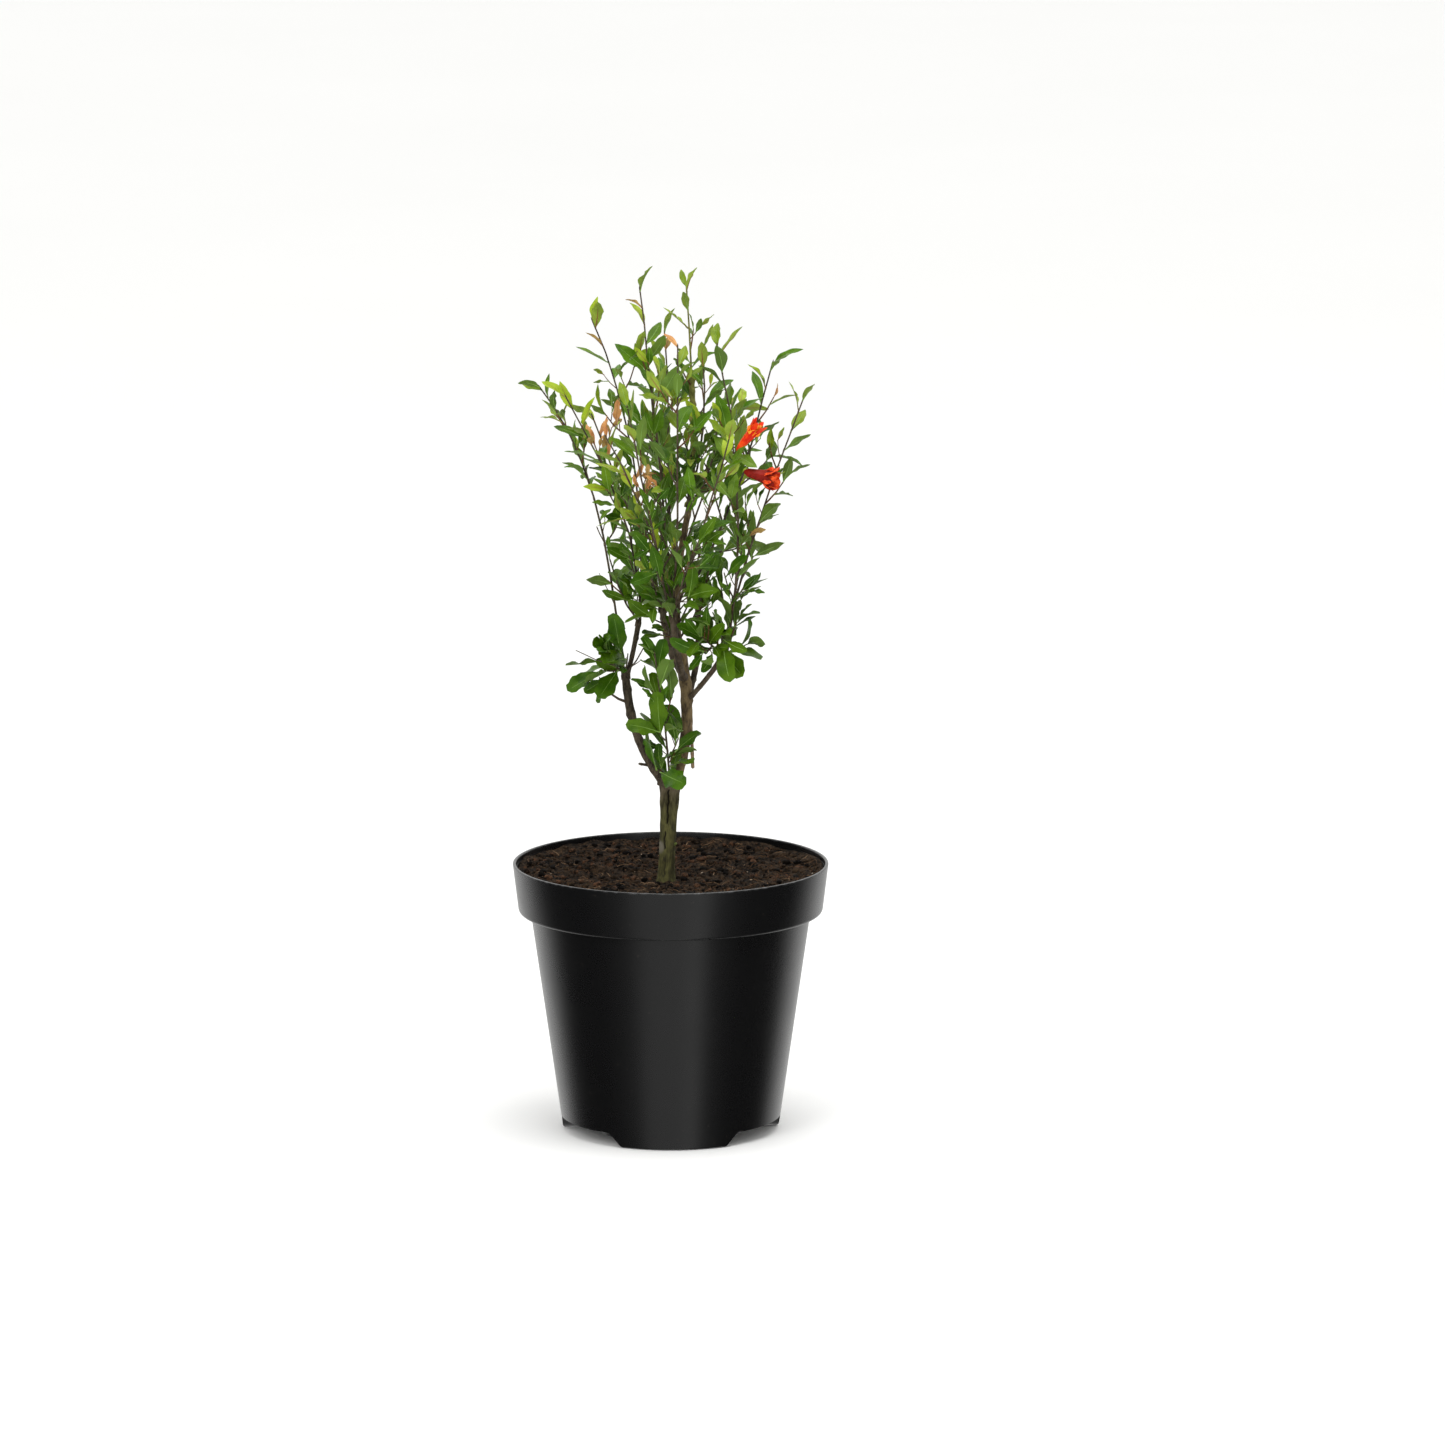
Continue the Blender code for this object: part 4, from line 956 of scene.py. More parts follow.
# girth is the stem's radius at its foot, bare the share of it below the first leaves, nodes its pairs of leaves,
# leaf the length of its lowest leaves, slim their width over their length, and twig the length of its longest
# twigs. Millimetres.
Mass = namedtuple("Mass", "name carrier tip bow girth bare nodes leaf slim twig")
MASSES = (
    Mass("foliage_low_centre", "trunk", (-12, -56, 380), (2, -5, -6), 1.0, 0.08, 14, 48, 0.42, 22),
    Mass("foliage_low_left", "bough_left", (-48, -48, 380), (-1, -2, -2), 0.9, 0.08, 13, 52, 0.42, 26),
    Mass("foliage_left_outer", "bough_left", (-100, 14, 571), (10, 4, 24), 1.0, 0.42, 11, 31, 0.34, 34),
    Mass("foliage_left_mid", "bough_left_inner", (-79, -52, 574), (16, -2, -7), 0.9, 0.18, 13, 36, 0.36, 42),
    Mass("foliage_left_upper", "bough_left_inner", (-60, 30, 620), (14, -1, 6), 0.9, 0.12, 15, 35, 0.36, 42),
    Mass("foliage_mid_left", "bough_left_inner", (-46, -26, 446), (-1, -1, -4), 0.9, 0.08, 7, 36, 0.40, 22),
    Mass("foliage_centre_left", "bough_leader", (-23, -24, 652), (2, -9, -4), 1.2, 0.12, 19, 36, 0.36, 40),
    Mass("foliage_front_young", "bough_leader", (-49, -72, 547), (10, -3, -4), 1.0, 0.18, 13, 36, 0.36, 38),
    Mass("foliage_centre", "bough_leader", (-16, -58, 442), (1, -3, -3), 0.9, 0.08, 8, 38, 0.40, 26),
    Mass("foliage_mid_centre", "bough_leader", (30, -50, 444), (2, -3, -3), 0.9, 0.08, 7, 37, 0.40, 26),
    Mass("foliage_leader", "bough_leader_upper", (12, -2, 651), (4, 0, -12), 1.3, 0.04, 14, 31, 0.33, 34),
    Mass("foliage_cut_back", "bough_leader_upper", (24, -18, 605), (6, -6, -2), 1.0, 0.16, 9, 31, 0.34, 30),
    Mass("foliage_right_mid", "bough_leader_upper", (36, -40, 552), (4, -2, -6), 0.9, 0.12, 8, 35, 0.38, 30),
    Mass("foliage_right_inner", "bough_right", (35, -42, 612), (12, -6, 0), 1.1, 0.14, 16, 36, 0.38, 36),
    Mass("foliage_right_outer", "bough_right", (101, -4, 565), (-6, 1, -7), 1.0, 0.10, 14, 34, 0.35, 38),
    Mass("foliage_low_right", "bough_right", (22, -72, 394), (0, -4, 1), 0.9, 0.05, 12, 48, 0.38, 26),
    Mass("foliage_mid_right", "bough_right", (54, -26, 452), (1, -1, -3), 0.9, 0.16, 7, 32, 0.38, 20),
    Mass("foliage_right_tip", "bough_cross", (78, 34, 587), (3, 13, -9), 1.1, 0.12, 14, 36, 0.34, 44),
    Mass("foliage_cross", "bough_cross", (-16, 48, 574), (-3, 4, -22), 1.1, 0.10, 11, 36, 0.38, 40),
    Mass("foliage_back_left", "bough_back", (-61, 88, 538), (2, 5, -1), 1.0, 0.14, 11, 36, 0.36, 40),
    Mass("foliage_back_centre", "bough_back", (-5, 92, 602), (4, 11, -6), 1.1, 0.18, 13, 35, 0.36, 40),
    Mass("foliage_back_right", "bough_back", (54, 90, 546), (-2, 4, 3), 1.0, 0.14, 11, 36, 0.36, 40),
    Mass("foliage_back_low", "bough_back", (-25, 84, 452), (0, 3, -4), 0.9, 0.10, 6, 38, 0.40, 26),
    Mass("foliage_mid_back", "bough_back", (26, 72, 440), (2, 3, -4), 0.9, 0.10, 6, 37, 0.40, 26),
    Mass("foliage_front_left", "bough_front", (-32, -94, 573), (0, -6, 0), 1.0, 0.12, 12, 35, 0.36, 36),
    Mass("foliage_front_centre", "bough_front", (6, -82, 617), (2, -8, 1), 1.0, 0.16, 14, 34, 0.36, 34),
    Mass("foliage_front_right", "bough_front", (45, -98, 550), (-1, -8, -4), 1.0, 0.16, 11, 35, 0.38, 36),
    Mass("foliage_front_low", "bough_front", (22, -94, 470), (-2, -3, 0), 0.9, 0.10, 7, 36, 0.40, 24),
)
MASS_NAMES = [mass.name for mass in MASSES]

# The rule's shares: pairs of leaves closer towards a stem's tip, each turned a quarter from the one below, and
# how far a leaf or twig that finds no room leans, strays and shrinks as it tries again.
NODE_CLOSING = 0.75
NODE_STRAY = 0.3
NODE_STEPS = (0.88, 1.12)
NODE_TOP_SHARE = 0.975
TUFT_PLACE = 0.985
TUFT_TURNS = (0, 2.2, 4.2)
TWIG_LEAF_STEP = 0.0150
TWIG_FIRST_PAIR = 0.9
TWIG_LAST_PAIR = 0.3
TWIG_TIP_PLACE = 0.97
TWIG_AGE = 0.2
TWIG_TIP_AGE = 0.3
LEAF_LEAN = (0.60, 1.20)
LEAF_TIP_LEAN = 0.30
LEAF_STRAY = 0.3
LEAF_ROLL = 0.6
LEAF_RISE = (-0.25, 0.20)
LEAF_LENGTHS = (0.85, 1.15)
LEAF_WIDTHS = (0.98, 1.22)
LEAF_SHRINK = 0.38
LEAF_NARROWING = 0.12
LEAF_WIDEST = 0.60
LEAF_BENDS = (-0.02, 0.07)
LEAF_FOLDS = (0.1, 0.5)
LEAF_THICKNESS = 0.030
LEAF_SINK = 0.3
LEAF_TESTED = (0.5, 1.0)
TRIES = 10
TRY_LEAN = 0.93
TRY_STRAY = 0.4
TRY_LEAF = 0.955
TRY_TWIG = 0.92
SPACE_SHARED = 0.006
LIMB_MARGIN = 0.0010
SITE_STEP = 0.008
SOLIDS_MOST = 9000
SEED = 11

# Finer twigs: short shoots on the twigs and stems, each with a few small leaves at shares of its length, turned
# to its sides
SHOOT_LEAVES = ((0.55, 0), (0.55, pi), (0.96, pi / 2), (0.96, -pi / 2))
SHOOT_AGE = 0.2
SHOOT_PLACES = (0.30, 0.62)
SHOOT_CHANCE = 0.42
SHOOT_TOP_SHARE = 0.85
SHOOT_LENGTHS = (0.006, 0.015)
SHOOT_LEAF_SHARES = (0.50, 0.85)
SHOOT_TRIES = 5
SHOOT_RADIUS = 0.00042
SHOOT_TIP_RADIUS = 0.00028


def spread_out(turns, girths, reach):
    """Seats on a ring in the order of their turns, moved on where two stems would be too near."""
    order = sorted(range(len(turns)), key=lambda k: turns[k])
    rooms = [(turns[one] - turns[order[place - 1]]) % tau for place, one in enumerate(order)]
    widest = rooms.index(max(rooms))
    order = order[widest:] + order[:widest]
    seats = dict.fromkeys(order, 0.0)
    seats[order[0]] = turns[order[0]]
    for before, one in zip(order, order[1:]):
        need = 2 * asin(min(1, (girths[before] + girths[one] + 2 * CLEAR) / (2 * reach)))
        ahead = (turns[one] - seats[before]) % tau
        seats[one] = seats[before] + (ahead if need < ahead < pi else need)
    drift = sum((turns[k] - seats[k] + pi) % tau - pi for k in order) / len(order)
    return [seats[k] + drift for k in range(len(turns))]


def first_slope(end, growth):
    """How far a stem or limb leans as it starts, to the right and to the back."""
    start = (Vector(growth.tip) * MM - end) / 2 + Vector(growth.bow) * (2 * MM)
    return start.normalized().xy


def make_stems():
    """The stem of each mass, from a seat of its own on its carrier's end to its tip."""
    stems = {}
    for carrier in sorted({mass.carrier for mass in MASSES}):
        points, radii, end_axis = runs[carrier]
        end = points[-1]
        right, back = level_axes(end_axis)
        shared = [mass for mass in MASSES if mass.carrier == carrier]
        girths = [mass.girth * MM for mass in shared]
        slopes = [first_slope(end, mass) for mass in shared]
        beside = [first_slope(end, limb) for limb in LIMBS if limb.parent == carrier and limb.seat == 1]
        middle = Vector((0, 0))
        if len(beside) == 1:
            middle = beside[0]
        elif len(slopes) > 1:
            middle = sum(slopes, middle) / len(slopes)
        turns = [atan2(*(slope - middle).yx) for slope in slopes]
        edge = radii[-1] * (TRUNK_DEPTH_SHARE if carrier == "trunk" else 1)
        ring = (max(girths) + CLEAR) / sin(pi / len(shared)) if len(shared) > 1 else 0
        reach = max(edge - max(girths), ring)
        turns = spread_out(turns, girths, reach)
        for mass, girth, turn in zip(shared, girths, turns):
            start = end + end_axis * CLEAR + (right * cos(turn) + back * sin(turn)) * reach
            tip, bow = Vector(mass.tip) * MM, Vector(mass.bow) * MM
            count = max(STEM_PIECES_LEAST, round((tip - start).length / STEM_PIECE) + 1)
            run = swung(start, tip, bow, count)
            run.insert(1, start + end_axis * (2 * girth))
            rng = Random(f"{SEED} {mass.name} stem")
            for k in range(STEM_FIRST_KINK, count):
                run[k] += Vector([rng.uniform(-STEM_KINK, STEM_KINK) for _ in range(3)])
            stems[mass.name] = (run, taper(girth, STEM_TIP_RADIUS, count + 1), end_axis)
    return stems


Leaf = namedtuple("Leaf", "root along face length width widest bend fold")


def leaf_outline(leaf, grown=0.0):
    """The rule's coarse leaf of six points and eight faces, that the others stay clear of."""
    across = leaf.along.cross(leaf.face).normalized()
    face = across.cross(leaf.along).normalized()
    middle = leaf.root + leaf.along * (leaf.length * leaf.widest) + face * (leaf.bend * leaf.length)
    half = leaf.width / 2 + grown
    thick = leaf.length * LEAF_THICKNESS / 2 + grown
    lift = face * (leaf.fold * leaf.width / 2)
    points = [
        leaf.root,
        leaf.root + leaf.along * (leaf.length + grown),
        middle + across * half + lift,
        middle - across * half + lift,
        middle + face * thick,
        middle - face * thick,
    ]
    faces = [(0, 4, 2), (0, 3, 4), (1, 2, 4), (1, 4, 3), (0, 2, 5), (0, 5, 3), (1, 5, 2), (1, 3, 5)]
    return points, faces


class Crown:
    """Keeps each mass to its own space, nearer to its stem than to any other, and clear of the limbs."""

    def __init__(self, stems):
        self.solids, self.boxes = [], np.zeros((SOLIDS_MOST, 6))
        limbs = []
        for points, radii, _ in runs.values():
            self.add(tube(points, radii, COARSE_SIDES))
            count = max(2, int(length_of(points) / (SITE_STEP / 2)))
            for k in range(count + 1):
                share = k / count
                limbs.append((*at(points, share)[0], between(radii[0], radii[-1], share)))
        self.limbs = np.array(limbs)
        self.stem_solids = {}
        sites, owners = [], []
        for number, (name, (points, radii, first_axis)) in enumerate(stems.items()):
            self.stem_solids[name] = self.add(tube(points, radii, STEM_SIDES, first_axis))
            count = max(2, int(length_of(points) / SITE_STEP))
            for k in range(count + 1):
                sites.append(at(points, k / count)[0])
                owners.append(number)
        self.names = list(stems)
        self.sites, self.owners = np.array(sites), np.array(owners)

    def holds(self, name, points):
        """Whether all the points lie in the space of the named mass, clear of every limb."""
        points = np.array(points)
        away = np.linalg.norm(points[:, None] - self.sites[None], axis=2)
        own = self.owners == self.names.index(name)
        if np.any(away[:, own].min(axis=1) > away[:, ~own].min(axis=1) + SPACE_SHARED):
            return False
        away = np.linalg.norm(points[:, None] - self.limbs[None, :, :3], axis=2)
        return not np.any(away < self.limbs[None, :, 3] + LIMB_MARGIN)

    def clear(self, shape, besides):
        """Whether a shape touches no leaf or twig placed before, apart from the twig that carries it."""
        corners = np.array(shape[0])
        boxes = self.boxes[:len(self.solids)]
        near = np.all(boxes[:, :3] <= corners.max(0), 1) & np.all(boxes[:, 3:] >= corners.min(0), 1)
        found = [self.solids[k] for k in np.flatnonzero(near)]
        if not found:
            return True
        tree = BVHTree.FromPolygons(*shape)
        return not any(tree.overlap(solid) for solid in found if solid is not besides)

    def add(self, shape):
        """Keep a shape as one that the later ones stay clear of."""
        corners = np.array(shape[0])
        self.boxes[len(self.solids)] = (*corners.min(0), *corners.max(0))
        solid = BVHTree.FromPolygons(*shape)
        self.solids.append(solid)
        return solid


def outward(axis, turn):
    """The direction straight out from an axis, on the side that turn gives."""
    aside = axis.orthogonal().normalized()
    return aside * cos(turn) + axis.cross(aside) * sin(turn)


def along_and_face(axis, turn, lean, roll):
    """A leaf's direction, leaning out of its twig on the side that turn gives, and the way it faces."""
    along = (axis * cos(lean) + outward(axis, turn) * sin(lean)).normalized()
    face = (axis - along * axis.dot(along)).normalized()
    beside = along.cross(face)
    return along, (face * cos(roll) + beside * sin(roll)).normalized()


Growth = namedtuple("Growth", "mass leaves twigs nodes")
Twig = namedtuple("Twig", "run foot_radius tip_radius share solid spray nodes")


def place_leaf(growth, spray, carrier, point, axis, radius, turn, share, rng, size=1.0, tries=TRIES):
    """Try to set a leaf at a point of a twig; it is skipped where it finds no room."""
    mass = growth.mass
    for attempt in range(tries):
        lean = (rng.uniform(*LEAF_LEAN) - LEAF_TIP_LEAN * share) * TRY_LEAN ** attempt
        stray = rng.uniform(-LEAF_STRAY, LEAF_STRAY) * (1 + TRY_STRAY * attempt)
        along, face = along_and_face(axis, turn + stray, lean, rng.uniform(-LEAF_ROLL, LEAF_ROLL))
        along = (along + Vector((0, 0, rng.uniform(*LEAF_RISE)))).normalized()
        length = mass.leaf * MM * (1 - LEAF_SHRINK * share) * rng.uniform(*LEAF_LENGTHS) * TRY_LEAF ** attempt
        length *= size
        width = length * mass.slim * rng.uniform(*LEAF_WIDTHS) * (1 - LEAF_NARROWING * share)
        root = point - along * (radius * LEAF_SINK)
        widest = LEAF_WIDEST - LEAF_NARROWING * share
        bend, fold = rng.uniform(*LEAF_BENDS), rng.uniform(*LEAF_FOLDS)
        leaf = Leaf(root, along, face, length, width, widest, bend, fold)
        shape = leaf_outline(leaf)
        inner = [leaf.root.lerp(corner, part) for corner in shape[0][1:4] for part in LEAF_TESTED]
        if crown.holds(mass.name, inner) and crown.clear(leaf_outline(leaf, CLEAR), carrier):
            crown.add(shape)
            growth.leaves.append((leaf, share, spray))
            return


def place_twig(growth, spray, carrier, point, axis, radius, turn, share, rng):
    """Try to grow a twig with its own pairs of leaves; says whether it found room."""
    mass = growth.mass
    for attempt in range(TRIES):
        length = mass.twig * MM * (1 - TWIG_SHRINK * share) * rng.uniform(*TWIG_LENGTHS) * TRY_TWIG ** attempt
        stray = rng.uniform(-TWIG_STRAY, TWIG_STRAY)
        along, _ = along_and_face(axis, turn + stray, rng.uniform(*TWIG_LEAN), 0)
        tip = point + along * length + Vector((0, 0, TWIG_RISE * length))
        run = swung(point, tip, (along - axis).normalized() * (TWIG_BOW * length), TWIG_PIECES + 1)
        girths = taper(min(TWIG_RADIUS, radius), TWIG_TIP_RADIUS, len(run))
        girths[0] = radius * TWIG_FOOT_SHARE
        shape = tube(run, girths, STEM_SIDES)
        if crown.holds(mass.name, run[1:]) and crown.clear(shape, carrier):
            twig = crown.add(shape)
            spin = rng.uniform(0, tau)
            pairs = max(1, round(length / TWIG_LEAF_STEP))
            nodes = []
            for pair in range(pairs):
                part = (pair + TWIG_FIRST_PAIR) / (pairs + TWIG_LAST_PAIR)
                nodes.append(part)
                place, way = at(run, part)
                age = min(1, share + TWIG_AGE * part)
                for side in (0, pi):
                    place_leaf(growth, spray, twig, place, way, TWIG_TIP_RADIUS, spin + side, age, rng)
                spin += pi / 2
            place, way = at(run, TWIG_TIP_PLACE)
            age = min(1, share + TWIG_TIP_AGE)
            place_leaf(growth, spray, twig, place, way, TWIG_TIP_RADIUS, spin, age, rng)
            growth.twigs.append(Twig(run, min(TWIG_RADIUS, radius), TWIG_TIP_RADIUS, share, twig, spray, nodes))
            return True
    return False


def grow(mass, stem):
    """The twigs and leaves of one mass, by a seeded rule from its stem."""
    run, radii, _ = stem
    rng = Random(f"{SEED} {mass.name}")
    carrier = crown.stem_solids[mass.name]
    growth = Growth(mass, [], [], [])
    if mass.name == BLOSSOM_MASS:
        set_blossoms(run)
        growth.leaves.append((BLOSSOM_LEAF, 0.5, BLOSSOM_LEAF_SPRAY))
    length = length_of(run)
    reach = mass.bare * length
    step = (length - reach) / mass.nodes * 2 / (1 + NODE_CLOSING)
    turn = rng.uniform(0, tau)
    node = spray = 0
    while reach < NODE_TOP_SHARE * length:
        share = reach / length
        growth.nodes.append(share)
        point, axis = at(run, share)
        radius = between(radii[0], radii[-1], share)
        for side in (0, pi):
            spray += 1
            twig = False
            if (node + (side > 0)) % 2 == 0 and share < TWIG_TOP_SHARE:
                twig = place_twig(growth, spray, carrier, point, axis, radius, turn + side, share, rng)
            if not twig:
                place_leaf(growth, spray, carrier, point, axis, radius, turn + side, share, rng)
        turn += pi / 2 + rng.uniform(-NODE_STRAY, NODE_STRAY)
        closing = 1 - (1 - NODE_CLOSING) * (share - mass.bare) / (1 - mass.bare)
        reach += step * closing * rng.uniform(*NODE_STEPS)
        node += 1
    point, axis = at(run, TUFT_PLACE)
    for side in TUFT_TURNS:
        place_leaf(growth, spray + 1, carrier, point, axis, STEM_TIP_RADIUS, turn + side, 1.0, rng)
    return growth


def place_shoot(growth, spray, carrier, point, axis, share, shoots, rng):
    """Try to grow a short shoot with a few small leaves."""
    for _ in range(SHOOT_TRIES):
        length = rng.uniform(*SHOOT_LENGTHS)
        along, _ = along_and_face(axis, rng.uniform(0, tau), rng.uniform(*TWIG_LEAN), 0)
        tip = point + along * length + Vector((0, 0, TWIG_RISE * length))
        run = swung(point, tip, (along - axis).normalized() * (TWIG_BOW * length), TWIG_PIECES + 1)
        shape = tube(run, taper(SHOOT_RADIUS, SHOOT_TIP_RADIUS, len(run)), STEM_SIDES)
        if crown.holds(growth.mass.name, run[1:]) and crown.clear(shape, carrier):
            shoot = crown.add(shape)
            spin, size = rng.uniform(0, tau), rng.uniform(*SHOOT_LEAF_SHARES)
            before, age = len(growth.leaves), min(1, share + SHOOT_AGE)
            for part, turn in SHOOT_LEAVES:
                place, way = at(run, part)
                place_leaf(growth, spray, shoot, place, way, SHOOT_TIP_RADIUS, spin + turn, age, rng,
                           size, SHOOT_TRIES)
            if len(growth.leaves) > before:
                nodes = [SHOOT_LEAVES[0][0]]
                shoots.append(Twig(run, SHOOT_RADIUS, SHOOT_TIP_RADIUS, share, shoot, spray, nodes))
            return


def grow_finer(growth, stem):
    """Short leafy shoots on the twigs and along the stem."""
    rng = Random(f"{SEED} {growth.mass.name} fine")
    shoots = []
    for twig in growth.twigs:
        for part in SHOOT_PLACES:
            if rng.random() < SHOOT_CHANCE and twig.share < SHOOT_TOP_SHARE:
                point, axis = at(twig.run, part)
                place_shoot(growth, twig.spray, twig.solid, point, axis, twig.share, shoots, rng)
    carrier = crown.stem_solids[growth.mass.name]
    for number, (low, high) in enumerate(zip(growth.nodes, growth.nodes[1:])):
        share = (low + high) / 2
        if rng.random() < SHOOT_CHANCE and share < SHOOT_TOP_SHARE:
            point, axis = at(stem[0], share)
            place_shoot(growth, number * 2, carrier, point, axis, share, shoots, rng)
    growth.twigs.extend(shoots)


# Blossoms: two on short spurs of one stem, each a thick waxy tube that opens in pointed lobes round crumpled
# petals and a brush of yellow stamens. The upper one is bright orange-red and the lower one is dark red.
BLOSSOM_MASS = "foliage_right_inner"

# Each blossom's spur leaves the stem at a height. The petals reach past the throat by a share of the blossom's
# length, and lean out by a share of its mouth.
Blossom = namedtuple("Blossom", "height foot axis length mouth petal_reaches petal_leans")
BLOSSOMS = (
    Blossom(0.516, Vector((0.0500, -0.0530, 0.5310)), Vector((0.62, -0.14, 0.77)).normalized(), 0.029, 0.0068,
            (0.22, 0.33), (0.00, 0.18)),
    Blossom(0.500, Vector((0.0556, -0.0560, 0.5160)), Vector((0.95, -0.20, -0.22)).normalized(), 0.026, 0.0096,
            (0.38, 0.52), (0.20, 0.75)),
)

# One bright leaf stands between them, as a spray of its own, of the grey-green kind with painted sheen in its
# colour
BLOSSOM_LEAF = Leaf(Vector((0.0472, -0.0535, 0.5285)), Vector((0.84, -0.42, -0.34)).normalized(),
                    Vector((0.2, -0.75, 0.62)).normalized(), 0.0188, 0.0088, 0.46, 0.03, 0.25)
BLOSSOM_LEAF_SPRAY = -1
BLOSSOM_SEED = 500
BLOSSOM_LOBES = 6
BLOSSOM_RINGS = ((0.0, 0.12), (0.18, 0.36), (0.50, 0.46), (0.78, 0.66))
BLOSSOM_THROAT = 0.62
SPUR_RADIUS = 0.0008
SPUR_FLARE = 1.3
SPUR_BEND = 0.6
SPUR_SINK = 0.2
SPUR_STEPS = 200
CALYX_SECTORS = 72
CALYX_RINGS = 26
CALYX_PROFILE = ((0.0, 0.10), (0.06, 0.24), (0.16, 0.35), (0.32, 0.42), (0.50, 0.50), (0.66, 0.60), (0.82, 0.75),
                 (1.0, 0.98))
CALYX_WALL = 0.0007
CALYX_WALL_RINGS = 3
CALYX_INSIDE = 0.42
CALYX_RIBS = 0.00025
CALYX_RIBS_TOP = 0.6
CALYX_WRINKLES = ((2.5, 5, 0, 0.0002),)
CALYX_SHIFT = 9
LOBE_NOTCH = 0.7
LOBE_START = 0.3
LOBE_ROUNDING = 0.8

# Petals: how many stand round the throat and how they stray, their grid, where they start, and how wide they are
# at the foot and in the middle, as shares of the mouth. Each is cupped, curls out and is crumpled by two layers
# of noise: how many folds run across and along, where the noise is cut, and how deep they are.
PETALS = 8
PETAL_STRAY = 0.2
PETAL_ROWS = 14
PETAL_COLUMNS = 12
PETAL_FOOT = 0.56
PETAL_FOOT_WIDTH = 0.18
PETAL_SWELL = 0.62
PETAL_OUT = 0.30
PETAL_CUP = 0.25
PETAL_CURL = 1.4
PETAL_CRUMPLES = ((1.8, 2.6, 0, 0.0016), (5, 6, 3, 0.0007))
PETAL_SKIN = 0.00008

# Stamens: a filament from inside the throat to a bead at its tip, as shares of the blossom's length and mouth
STAMENS = 26
STAMEN_FOOT = 0.58
STAMEN_TIPS = (0.78, 0.92)
STAMEN_SPREAD = (0.05, 0.34)
STAMEN_GATHERED = 0.6
STAMEN_BEAD = (0.85, 0.08)
STAMEN_RADII = (0.00014, 0.00014, 0.00045, 0.0001)
STAMEN_SIDES = 6
spurs, calyxes, petals, stamens = [], [], [], []


def blossom_outline(blossom):
    """The rule's coarse blossom: a tube that swells to a mouth of pointed lobes."""
    foot, axis, lobes = blossom.foot, blossom.axis, BLOSSOM_LOBES
    corners = []
    for share, spread in BLOSSOM_RINGS:
        for k in range(lobes):
            out = outward(axis, tau * k / lobes)
            corners.append(foot + axis * (share * blossom.length) + out * (spread * blossom.mouth))
    faces = rings_of_faces(len(BLOSSOM_RINGS), lobes)
    faces.append(tuple(range(lobes)))
    throat = len(corners)
    corners.append(foot + axis * (BLOSSOM_THROAT * blossom.length))
    last = (len(BLOSSOM_RINGS) - 1) * lobes
    for k in range(lobes):
        out = outward(axis, tau * (k + 0.5) / lobes)
        corners.append(foot + axis * blossom.length + out * blossom.mouth)
        tip, beside = len(corners) - 1, (k + 1) % lobes
        faces += [(last + k, last + beside, tip), (last + k, tip, throat), (last + beside, throat, tip)]
    return corners, faces


def spread_at(profile, share):
    """Radius of a profile at a share of its length, eased between its points."""
    for (low, first), (high, last) in zip(profile, profile[1:]):
        if share <= high:
            return between(first, last, eased((share - low) / (high - low)))
    return profile[-1][1]


def shape_calyx(blossom, start):
    """The thick tube with its pointed lobes, as an outer and an inner skin that meet at the lobes' edge."""
    rings = CALYX_RINGS
    corners = []
    for skin in (0, 1):
        for ring in range(rings):
            part = 1 - ring / rings * CALYX_INSIDE if skin else ring / (rings - 1)
            for k in range(CALYX_SECTORS):
                turn = tau * k / CALYX_SECTORS
                lobe = abs(cos((turn - pi / BLOSSOM_LOBES) * BLOSSOM_LOBES / 2)) ** LOBE_ROUNDING
                top = between(LOBE_NOTCH, 1, lobe)
                share = part * between(LOBE_NOTCH, top, eased((part - LOBE_START) / LOBE_START))
                spread = spread_at(CALYX_PROFILE, share) * blossom.mouth
                spread += relief_at(turn, share, CALYX_WRINKLES, start)
                spread += CALYX_RIBS * cos(turn * BLOSSOM_LOBES) * eased(share / CALYX_RIBS_TOP)
                spread -= CALYX_WALL * skin * min(1, ring / CALYX_WALL_RINGS)
                along = blossom.axis * (share * blossom.length)
                corners.append(blossom.foot + along + outward(blossom.axis, turn) * spread)
    faces = rings_of_faces(2 * rings, CALYX_SECTORS)
    last = (2 * rings - 1) * CALYX_SECTORS
    faces += [tuple(range(CALYX_SECTORS)), tuple(range(last, last + CALYX_SECTORS))]
    return corners, faces


